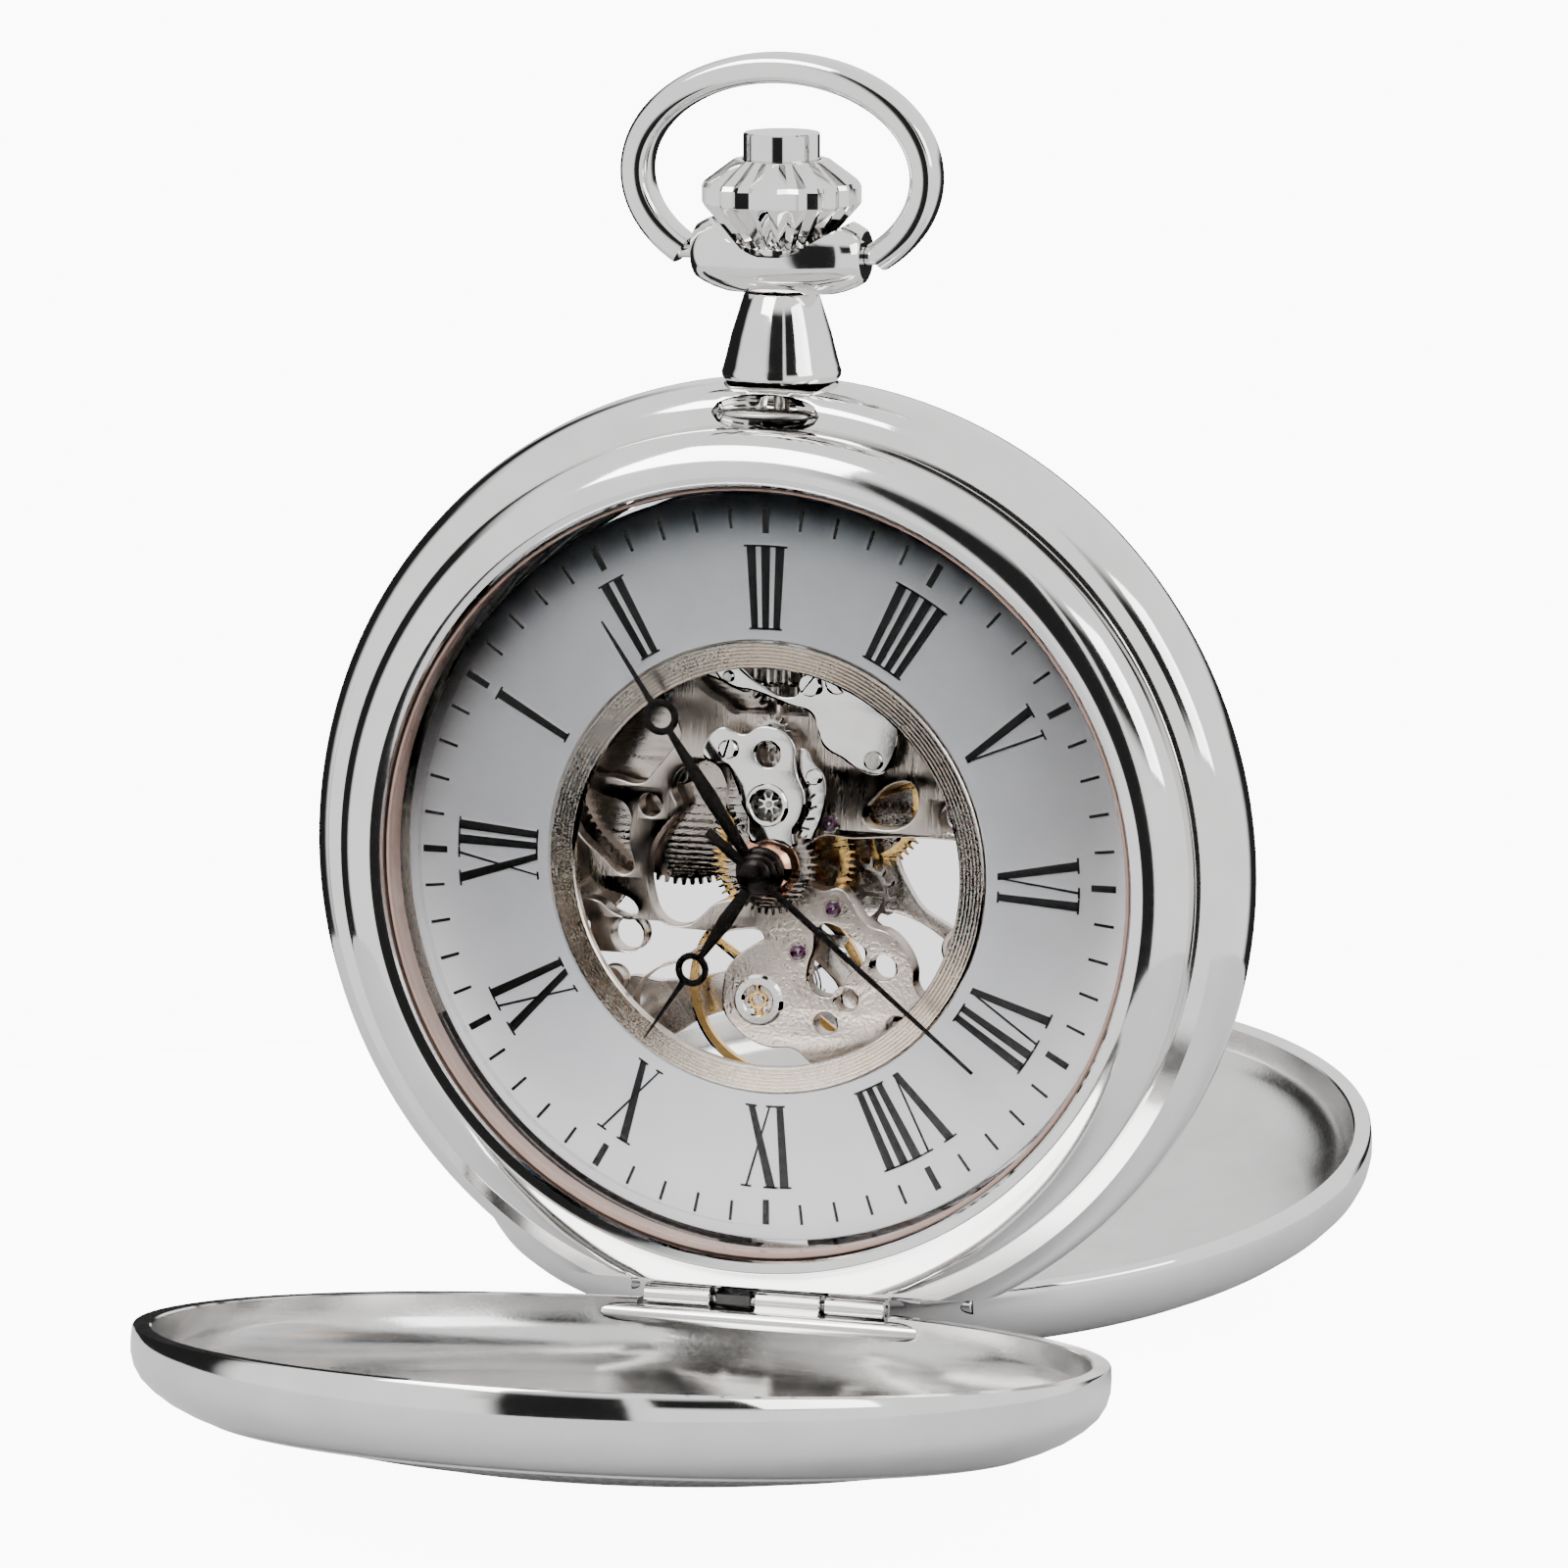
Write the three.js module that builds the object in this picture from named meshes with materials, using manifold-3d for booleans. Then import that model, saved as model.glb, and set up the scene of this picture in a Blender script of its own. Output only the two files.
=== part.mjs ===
// A double hunter pocket watch with a hand-wound skeleton movement, standing open on its two covers.
// Units are millimetres. X runs to the watch's right, Y from the dial to the back, Z up through the crown.
// Everything is drawn about the dial's centre, and the finished watch is then lifted to stand on Z = 0.
import * as THREE from "three";
import { mergeVertices } from "three/addons/utils/BufferGeometryUtils.js";
import Module from "manifold-3d";

const wasm = await Module();
wasm.setup();

// ---- Driving dimensions ----
const BAND_R = 25; // outside of the case band
const BAND_BORE_R = 20; // inside of the case band
const SEAT_Y = 2.7; // half the band's thickness, where each cover's rim lands
const SEAT_R = 23.9; // outer edge of that seat
const BEZEL_R = 22.8;
const BEZEL_TOP_Y = 5.25;
const FLAT_Z = -21.9; // chord cut across the band to make room for the hinges
const BEZEL_FLAT_Z = -21.4;
const CRYSTAL_R = 19.6;

const COVER_R = 24;
const COVER_WALL = 0.9;
const COVER_SHEET = 0.6;
const COVER_RIDGE_R = 20.3; // edge of the engine-turned field
const COVER_RIDGE_DEPTH = 4.3;
const COVER_DEPTH = 6.5; // from the rim to the flat shield at the middle
const SHIELD_R = 6;
const COVER_GAP = 0.1; // between a closed cover's rim and its seat
const OPEN_ANGLE = THREE.MathUtils.degToRad(81.8);

const HINGE_Y = 2.6; // hinge axis, measured outwards from the middle of the case
const HINGE_Z = -22.7;
const KNUCKLE_R = 0.6;
const KNUCKLE_ENDS = 6.5;
const PIN_R = 0.25;
const PIN_BORE_R = 0.32;
const JOINT_BAR_R = 0.45;
const JOINT_BAR_HALF = 9.3;
const JOINT_BAR_Y = 0.95; // joint bar, out from the hinge axis and up from it, with the cover shut
const JOINT_BAR_Z = 0.75;

const NECK_BASE_Z = 24.7;
const NECK_TOP_Z = 29.3;
const COLLAR_Z = 31.3; // axis that the bow swings about
const COLLAR_HALF = 4.5;
const COLLAR_R = 2.3;
const BOW_A = 7.7; // half the bow's width, at the middle of its wire
const BOW_B = 5.4;
const BOW_Z = 35.3;
const BOW_PIVOT_R = 0.45;
const CROWN_BASE_Z = 31.6;
const CROWN_R = 4.06;
const CROWN_TOP_Z = 36.1;
const BUTTON_R = 1.95;
const BUTTON_TOP_Z = 37.45;
const FLUTES = 24;

const DIAL_Y = -2.6; // front face of the dial
const DIAL_HOLE_R = 11.72;
const DIAL_R = 19.4;
const WINDOW_R = 10.35;
const PLATE_R = 13.6;
const PLATE_FRONT = -1.1;
const PLATE_BACK = 0;

const BIG_ROUND = 40;
const MID_ROUND = 32;
const SMALL_ROUND = 16;
const TINY_ROUND = 10;

// Where the movement's arbors stand, as [x, z] from the dial's centre.
const CENTRE = [0, 0];
const BARREL = [-5.54, 4.2];
const THIRD = [3.313, 2.88];
const ESCAPE = [3.57, -1.837];
const PALLET = [1.4, -4.1];
const BALANCE = [-0.9, -7.2];
const MINUTE_WORK = [0, 3.25];
const SETTING = [0, 6.79];
const CROWN_WHEEL = [0, 7.4];

// Pitch radii. A wheel here is a plain blank, a little smaller, so that meshing wheels stay clear.
const BLANK = 0.08;
const BARREL_R = 6.02;
const CENTRE_PINION_R = 0.93;
const CENTRE_WHEEL_R = 3.902;
const THIRD_PINION_R = 0.488;
const THIRD_WHEEL_R = 3.873;
const FOURTH_PINION_R = 0.5165;
const FOURTH_WHEEL_R = 3.65;
const ESCAPE_PINION_R = 0.365;
const ESCAPE_WHEEL_R = 2.2;
const BALANCE_R = 4.8;
const CANNON_R = 0.8125;
const MINUTE_WHEEL_R = 2.4375;
const MINUTE_PINION_R = 0.65;
const HOUR_WHEEL_R = 2.6;
const SETTING_WHEEL_R = 1.1;
const CROWN_WHEEL_R = 2.4;
const RATCHET_R = 4.0;

// The hands show nine minutes past ten, thirty-seven seconds: turns clockwise from the twelve.
const MINUTE_TURN = 9.4 / 60;
const HOUR_TURN = 10.157 / 12;
const SECOND_TURN = 36.6 / 60;

// ---- Finishes ----
const finish = (color, roughness, metalness) => new THREE.MeshStandardMaterial({ color, roughness, metalness });
const POLISHED = finish(0xd9d8d6, 0.1, 1);
const SATIN = finish(0xcfccc7, 0.35, 1);
const FROSTED = finish(0xc9c1b8, 0.5, 1);
const GILT = finish(0xd9a24a, 0.25, 1);
const STEEL = finish(0x8d8a86, 0.3, 1);
const BLACK = finish(0x1c1a1a, 0.35, 0.6);
const ENAMEL = finish(0xe4e5e8, 0.35, 0);
const GLASS = new THREE.MeshStandardMaterial({ color: 0xf4f8fa, roughness: 0.02, transparent: true, opacity: 0.2 });
const SEAL = finish(0xc9aaa0, 0.5, 0);

// ---- Solids ----

// A closed three.js geometry as a manifold-3d solid whose faces point outwards.
function solid(geometry) {
  const bare = new THREE.BufferGeometry().setAttribute("position", geometry.getAttribute("position"));
  bare.setIndex(geometry.index);
  const merged = mergeVertices(bare, 1e-4);
  const vertProperties = merged.attributes.position.array;
  const triVerts = new Uint32Array(merged.index.array);
  const made = new wasm.Manifold(new wasm.Mesh({ numProp: 3, vertProperties, triVerts }));
  if (made.volume() > 0) return made;
  return new wasm.Manifold(new wasm.Mesh({ numProp: 3, vertProperties, triVerts: triVerts.toReversed() }));
}

// The solid's surface as a three.js geometry.
function surface(body) {
  const mesh = body.getMesh();
  const places = new Float32Array(mesh.numVert * 3);
  for (let i = 0; i < mesh.numVert; i++) {
    places.set(mesh.vertProperties.subarray(i * mesh.numProp, i * mesh.numProp + 3), i * 3);
  }
  const geometry = new THREE.BufferGeometry();
  geometry.setAttribute("position", new THREE.BufferAttribute(places, 3));
  geometry.setIndex(new THREE.BufferAttribute(mesh.triVerts, 1));
  geometry.computeVertexNormals();
  return geometry;
}

function joined(first, ...others) {
  return others.reduce((whole, next) => whole.add(next), first);
}

function cut(first, ...others) {
  return others.reduce((whole, next) => whole.subtract(next), first);
}

// A profile of [radius, y] points turned about the Y axis, with a flat facet towards +Z and -Z.
function turned(profile, sides = BIG_ROUND) {
  const points = profile.map(([r, y]) => new THREE.Vector2(r, y));
  const closes = profile[0][0] === 0 && profile.at(-1)[0] === 0;
  if (!closes) points.push(points[0].clone());
  return solid(new THREE.LatheGeometry(points, sides, Math.PI / sides));
}

// A washer between two values of y, about the axis that stands at the place [x, z].
function washer(outer, inner, front, back, [x, z] = CENTRE, sides = SMALL_ROUND) {
  const body = inner
    ? turned([[inner, front], [outer, front], [outer, back], [inner, back]], sides)
    : turned([[0, front], [outer, front], [outer, back], [0, back]], sides);
  return body.translate(x, 0, z);
}

// A flat outline of [x, z] points, or a THREE.Shape, with thickness from front to back.
function plate(outline, front, back, curveSegments = 8) {
  const shape = outline instanceof THREE.Shape ? outline : new THREE.Shape(outline.map(([x, z]) => new THREE.Vector2(x, z)));
  const geometry = new THREE.ExtrudeGeometry(shape, { depth: back - front, bevelEnabled: false, curveSegments });
  geometry.rotateX(Math.PI / 2);
  geometry.translate(0, back, 0);
  return solid(mergeVertices(geometry.deleteAttribute("normal").deleteAttribute("uv")));
}

function block([x0, x1], [y0, y1], [z0, z1]) {
  const geometry = new THREE.BoxGeometry(x1 - x0, y1 - y0, z1 - z0);
  geometry.translate((x0 + x1) / 2, (y0 + y1) / 2, (z0 + z1) / 2);
  return solid(geometry);
}

// A straight bar of the given radius along X, at [y, z].
function rodX(radius, x0, x1, [y, z], sides = SMALL_ROUND) {
  const geometry = new THREE.CylinderGeometry(radius, radius, x1 - x0, sides);
  geometry.rotateZ(Math.PI / 2);
  geometry.translate((x0 + x1) / 2, y, z);
  return solid(geometry);
}

// A profile of [radius, z] points turned about the upright axis through the pendant.
function upright(profile, sides = SMALL_ROUND) {
  return turned(profile, sides).rotate([90, 0, 0]);
}

// A wide bar with round ends between two places, as an outline.
function link([x0, z0], [x1, z1], r0, r1, steps = 6) {
  const along = Math.atan2(z1 - z0, x1 - x0);
  const points = [];
  for (let i = 0; i <= steps; i++) {
    const a = along + Math.PI / 2 + (Math.PI * i) / steps;
    points.push([x0 + r0 * Math.cos(a), z0 + r0 * Math.sin(a)]);
  }
  for (let i = 0; i <= steps; i++) {
    const a = along - Math.PI / 2 + (Math.PI * i) / steps;
    points.push([x1 + r1 * Math.cos(a), z1 + r1 * Math.sin(a)]);
  }
  return points;
}

// ---- The scene graph ----
const watch = new THREE.Group();
const lifted = new THREE.Group();
watch.add(lifted);

function piece(name, body, material, parent = lifted) {
  const mesh = new THREE.Mesh(surface(body), material);
  mesh.name = name;
  parent.add(mesh);
  return mesh;
}

// The same piece on the dial side and the back, the second one turned half way round the upright axis.
function bothSides(name, body, material) {
  piece("front_" + name, body, material);
  piece("rear_" + name, body, material).rotation.z = Math.PI;
}

// ---- Case band and bezels ----
function caseBand() {
  const ring = turned([
    [BAND_BORE_R, -SEAT_Y],
    [SEAT_R, -SEAT_Y],
    [24.55, -2.1],
    [24.88, -1.2],
    [BAND_R, 0],
    [24.88, 1.2],
    [24.55, 2.1],
    [SEAT_R, SEAT_Y],
    [BAND_BORE_R, SEAT_Y],
  ]);
  const belowFlat = block([-15, 15], [-4, 4], [-30, FLAT_Z]);
  const stemBore = upright([[0, 15], [1.5, 15], [1.5, 30], [0, 30]]);
  const springSlot = (side) => block([-2.8, -0.6], [side * 1.85 - 0.95, side * 1.85 + 0.95], [-22, -18]);
  const catchPocket = block([-2.6, 2.6], [-3, -1.4], [22.55, 23.85]);
  return cut(
    ring,
    belowFlat,
    stemBore,
    springSlot(-1),
    springSlot(1).mirror([1, 0, 0]),
    catchPocket,
    catchPocket.rotate([0, 0, 180]),
  );
}
piece("case_band", caseBand(), POLISHED);

function bezel() {
  const ring = turned([
    [BAND_BORE_R, -SEAT_Y - 0.03],
    [BAND_BORE_R, -BEZEL_TOP_Y + 0.25],
    [20.7, -BEZEL_TOP_Y],
    [21.7, -4.95],
    [22.45, -4.4],
    [BEZEL_R, -3.7],
    [BEZEL_R, -SEAT_Y - 0.03],
  ]);
  return cut(ring, block([-15, 15], [-6, 0], [-30, BEZEL_FLAT_Z]), block([-2.6, 2.6], [-3.6, 0], [22.4, 26]));
}
bothSides("bezel", bezel(), POLISHED);

// ---- Crystals, each pressed into its bezel with a soft seal ----
const crystal = turned(
  [
    [0, -5.85],
    [12, -5.6],
    [16.6, -5.05],
    [18.3, -4.3],
    [18.6, -2.95],
    [CRYSTAL_R, -2.95],
    [CRYSTAL_R, -4.75],
    [19, -5.45],
    [17.2, -6.1],
    [12, -6.65],
    [0, -6.9],
  ],
  MID_ROUND,
);
bothSides("crystal", crystal, GLASS);
bothSides("crystal_seal", turned([[19.68, -3.2], [19.92, -3.2], [19.92, -4.7], [19.68, -4.7]], MID_ROUND), SEAL);

// ---- Hinges: two case knuckles, a dark spring block and the pin, on each side ----
const hingeAt = [-HINGE_Y, HINGE_Z];
const pinBore = rodX(PIN_BORE_R, -8, 8, hingeAt, TINY_ROUND);

function caseKnuckles() {
  const knuckle = (x0, x1) =>
    joined(
      rodX(KNUCKLE_R, x0, x1, hingeAt),
      block([x0, x1], [-HINGE_Y, -HINGE_Y + 0.55], [HINGE_Z, FLAT_Z - 0.03]),
    );
  const strip = block([-KNUCKLE_ENDS, KNUCKLE_ENDS], [-1.75, -0.4], [FLAT_Z - 0.3, FLAT_Z - 0.03]);
  const bridge = (x0, x1) => block([x0, x1], [-HINGE_Y + 0.3, -1], [FLAT_Z - 0.3, FLAT_Z - 0.03]);
  const springGap = block([-2.75, -0.65], [-2.9, -1.2], [-23, -21]);
  return cut(
    joined(
      knuckle(-KNUCKLE_ENDS, -2.9),
      knuckle(3.3, KNUCKLE_ENDS),
      strip,
      bridge(-KNUCKLE_ENDS, -2.9),
      bridge(3.3, KNUCKLE_ENDS),
    ),
    pinBore,
    springGap,
  );
}
bothSides("case_hinge", caseKnuckles(), POLISHED);
bothSides("hinge_pin", rodX(PIN_R, -KNUCKLE_ENDS, KNUCKLE_ENDS, hingeAt, TINY_ROUND), STEEL);

// The spring that throws the cover open: a curved leaf beside the band's bore, ending in a block over the pin.
function flySpring() {
  const leaf = [];
  const first = THREE.MathUtils.degToRad(206);
  const last = THREE.MathUtils.degToRad(266);
  const steps = 12;
  for (let i = 0; i <= steps; i++) {
    const a = first + ((last - first) * i) / steps;
    leaf.push([19.82 * Math.cos(a), 19.82 * Math.sin(a)]);
  }
  for (let i = steps; i >= 0; i--) {
    const a = first + ((last - first) * i) / steps;
    leaf.push([19.5 * Math.cos(a), 19.5 * Math.sin(a)]);
  }
  const arm = block([-2.55, -0.85], [-2.35, -1.5], [-22.2, -19.45]);
  const nose = block([-2.65, -0.75], [-HINGE_Y - 0.4, -HINGE_Y + 0.5], [HINGE_Z - 0.45, FLAT_Z - 0.05]);
  return cut(joined(plate(leaf, -2.35, -1.5), arm, nose), rodX(0.36, -4, 1, hingeAt, TINY_ROUND));
}
bothSides("fly_spring", flySpring(), STEEL);

// ---- Covers, drawn shut and then swung open about their hinges ----

// Depth of the engine-turned field below the rim, at a radius: a shallow dome with a flat shield.
const fall = (COVER_DEPTH - COVER_RIDGE_DEPTH) / COVER_RIDGE_R ** 2;
const fieldDepth = (r) => COVER_DEPTH - fall * r * r;

function coverShell() {
  const rim = -SEAT_Y - COVER_GAP;
  const inner = COVER_R - COVER_WALL;
  const ring = turned([
    [COVER_R, rim],
    [COVER_R + 0.1, rim - 1.2],
    [COVER_R - 0.4, rim - 2.4],
    [COVER_R - 1.7, rim - 3.5],
    [COVER_RIDGE_R, rim - COVER_RIDGE_DEPTH],
    ...[15, 12, SHIELD_R].map((r) => [r, rim - fieldDepth(r)]),
    [0, rim - fieldDepth(SHIELD_R)],
    [0, rim - fieldDepth(SHIELD_R) + COVER_SHEET],
    ...[SHIELD_R, 13.5, COVER_RIDGE_R].map((r) => [r, rim - fieldDepth(r) + COVER_SHEET]),
    [inner - 0.9, rim - 2.7],
    [inner, rim - 1.8],
    [inner, rim],
  ]);
  const hingeRoom = rodX(0.78, -KNUCKLE_ENDS - 0.3, KNUCKLE_ENDS + 0.3, hingeAt);
  const barRoom = rodX(JOINT_BAR_R + 0.06, -JOINT_BAR_HALF - 0.06, JOINT_BAR_HALF + 0.06, [
    -HINGE_Y - JOINT_BAR_Y,
    HINGE_Z + JOINT_BAR_Z,
  ]);
  const catchRoom = block([-2.5, 2.5], [-3.6, -2], [22.5, 23.75]);
  return cut(ring, hingeRoom, barRoom, catchRoom);
}

// The joint bar across the cover's rim, with the knuckle that takes the pin.
function coverJoint() {
  const barAt = [-HINGE_Y - JOINT_BAR_Y, HINGE_Z + JOINT_BAR_Z];
  const reach = Math.hypot(JOINT_BAR_Y, JOINT_BAR_Z);
  const web = block([-0.45, 3.05], [-0.25, 0.25], [0, reach])
    .rotate([THREE.MathUtils.radToDeg(Math.atan2(JOINT_BAR_Y, JOINT_BAR_Z)), 0, 0])
    .translate(0, -HINGE_Y, HINGE_Z);
  return cut(
    joined(
      rodX(JOINT_BAR_R, -JOINT_BAR_HALF, JOINT_BAR_HALF, barAt),
      rodX(KNUCKLE_R, -0.45, 3.05, hingeAt),
      web,
    ),
    pinBore,
  );
}

function cover(side, half) {
  const swing = new THREE.Group();
  swing.position.set(0, -HINGE_Y, HINGE_Z);
  swing.rotation.x = OPEN_ANGLE;
  const turn = new THREE.Group();
  turn.rotation.z = half;
  turn.add(swing);
  lifted.add(turn);
  piece(side + "_cover", coverShell().translate(0, HINGE_Y, -HINGE_Z), POLISHED, swing);
  piece(side + "_cover_joint", coverJoint().translate(0, HINGE_Y, -HINGE_Z), POLISHED, swing);
}
cover("front", 0);
cover("rear", Math.PI);

// ---- Pendant, bow and crown ----
const neck = upright([
  [1.3, NECK_BASE_Z],
  [2.6, NECK_BASE_Z],
  [3.05, NECK_BASE_Z + 0.5],
  [2.85, NECK_BASE_Z + 1.4],
  [1.9, NECK_TOP_Z],
  [1.3, NECK_TOP_Z],
]);
piece("pendant_neck", cut(neck, turned([[0, -4], [BAND_R + 0.05, -4], [BAND_R + 0.05, 4], [0, 4]])), POLISHED);

function collar() {
  const barrel = turned(
    [
      [0, -COLLAR_HALF],
      [1.35, -COLLAR_HALF],
      [1.85, -3.6],
      [2.2, -2],
      [COLLAR_R, 0],
      [2.2, 2],
      [1.85, 3.6],
      [1.35, COLLAR_HALF],
      [0, COLLAR_HALF],
    ],
    SMALL_ROUND,
  ).rotate([0, 0, 90]);
  const crownRoom = upright([[0, 31.3], [2.35, 31.3], [4.6, 34], [0, 34]]);
  const stemBore = upright([[0, 28], [0.95, 28], [0.95, 32], [0, 32]]);
  const pivotHole = (x0, x1) => rodX(BOW_PIVOT_R + 0.08, x0, x1, [0, 0], TINY_ROUND);
  const neckRoom = block([-5, 5], [-5, 5], [27, NECK_TOP_Z + 0.03]);
  return cut(
    barrel.translate(0, 0, COLLAR_Z),
    crownRoom,
    stemBore,
    pivotHole(-5, -3.7).translate(0, 0, COLLAR_Z),
    pivotHole(3.7, 5).translate(0, 0, COLLAR_Z),
    neckRoom,
  );
}
piece("pendant_collar", collar(), POLISHED);

// The bow: an oval wire from one side of the collar to the other, with a pivot turned on each end.
function bow() {
  const steps = 28;
  const wire = 8;
  const first = Math.asin((COLLAR_Z - BOW_Z) / BOW_B);
  const rings = [];
  for (let i = 0; i <= steps; i++) {
    const a = first + ((Math.PI - 2 * first) * i) / steps;
    const middle = new THREE.Vector2(BOW_A * Math.cos(a), BOW_Z + BOW_B * Math.sin(a));
    const outward = new THREE.Vector2(BOW_B * Math.cos(a), BOW_A * Math.sin(a)).normalize();
    const ring = [];
    for (let k = 0; k < wire; k++) {
      const b = (2 * Math.PI * k) / wire;
      const out = 0.78 * Math.cos(b);
      ring.push([middle.x + outward.x * out, 1.05 * Math.sin(b), middle.y + outward.y * out]);
    }
    rings.push(ring);
  }
  const places = rings.flat(2);
  const corners = [];
  for (let i = 0; i < steps; i++) {
    for (let k = 0; k < wire; k++) {
      const a = i * wire + k;
      const b = i * wire + ((k + 1) % wire);
      corners.push(a, b, a + wire, b, b + wire, a + wire);
    }
  }
  const last = steps * wire;
  for (let k = 1; k < wire - 1; k++) {
    corners.push(0, k + 1, k, last, last + k, last + k + 1);
  }
  const geometry = new THREE.BufferGeometry();
  geometry.setAttribute("position", new THREE.Float32BufferAttribute(places, 3));
  geometry.setIndex(corners);
  const ends = block([-COLLAR_HALF - 0.12, COLLAR_HALF + 0.12], [-3, 3], [28, 34]);
  const pivots = [-1, 1].map((side) =>
    rodX(BOW_PIVOT_R, Math.min(side * 3.8, side * 5.6), Math.max(side * 3.8, side * 5.6), [0, COLLAR_Z], TINY_ROUND),
  );
  return joined(cut(solid(geometry), ends), ...pivots);
}
piece("bow", bow(), POLISHED);

// The crown: a fluted double cone. Its outline at a height is a rounded star.
function crown() {
  const levels = [
    [1.95, CROWN_BASE_Z - 0.25, 0],
    [1.95, CROWN_BASE_Z, 0],
    [2.15, CROWN_BASE_Z, 0.12],
    [CROWN_R, 33.85, 0.2],
    [CROWN_R, 34.75, 0.2],
    [3.9, 35.05, 0.2],
    [2.5, CROWN_TOP_Z - 0.05, 0.1],
  ];
  const around = FLUTES * 2;
  const places = [];
  for (const [r, z, depth] of levels) {
    for (let k = 0; k < around; k++) {
      const a = (2 * Math.PI * k) / around;
      const here = r - (k % 2 ? depth : 0);
      places.push(here * Math.cos(a), here * Math.sin(a), z);
    }
  }
  const corners = [];
  for (let i = 0; i < levels.length - 1; i++) {
    for (let k = 0; k < around; k++) {
      const a = i * around + k;
      const b = i * around + ((k + 1) % around);
      corners.push(a, b, a + around, b, b + around, a + around);
    }
  }
  const top = (levels.length - 1) * around;
  for (let k = 1; k < around - 1; k++) {
    corners.push(0, k + 1, k, top, top + k, top + k + 1);
  }
  const geometry = new THREE.BufferGeometry();
  geometry.setAttribute("position", new THREE.Float32BufferAttribute(places, 3));
  geometry.setIndex(corners);
  const buttonBore = upright([[0, 33.4], [2.02, 33.4], [2.02, 40], [0, 40]]);
  const stemSocket = upright([[0, 30], [0.5, 30], [0.5, 33.2], [0, 33.2]], TINY_ROUND);
  return cut(solid(geometry), buttonBore, stemSocket);
}
piece("crown", crown(), POLISHED);

// The push piece in the crown's middle, which frees the front cover.
const button = upright([[0, 34.1], [BUTTON_R, 34.1], [BUTTON_R, BUTTON_TOP_Z], [0, BUTTON_TOP_Z]]);
piece("crown_button", button, POLISHED);

const stem = upright(
  [
    [0, 5.5],
    [0.25, 5.5],
    [0.25, 7.2],
    [0.42, 7.6],
    [0.42, 33],
    [0, 33],
  ],
  TINY_ROUND,
);
piece("winding_stem", stem, STEEL);
const onStem = (outer, z0, z1) => upright([[0.47, z0], [outer, z0], [outer, z1], [0.47, z1]]);
piece("clutch_wheel", onStem(1.0, 8.35, 9.15), STEEL);
piece("winding_pinion", onStem(1.6, 9.35, 10.15), STEEL);

// ---- Cover catches: hooked blocks in pockets of the band, pushed in by the button ----
function coverCatch() {
  return joined(
    block([-2.3, 2.3], [-3.25, -1.55], [23.05, 23.65]),
    block([-2.3, 2.3], [-3.45, -3.1], [23.05, 23.5]),
  );
}
bothSides("cover_catch", coverCatch(), STEEL);

// ---- Dial ----
piece("dial", washer(DIAL_R, DIAL_HOLE_R, DIAL_Y, DIAL_Y + 0.4, CENTRE, BIG_ROUND), ENAMEL);
piece("dial_inner_ring", washer(11.66, WINDOW_R, DIAL_Y - 0.1, DIAL_Y + 0.4, CENTRE, BIG_ROUND), SATIN);

function movementRing() {
  const ring = turned([[PLATE_R + 0.15, -2.15], [19.3, -2.15], [19.3, 2.6], [PLATE_R + 0.15, 2.6]], MID_ROUND);
  return cut(ring, upright([[0, 10], [1.5, 10], [1.5, 25], [0, 25]]));
}
piece("movement_ring", movementRing(), SATIN);

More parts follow.
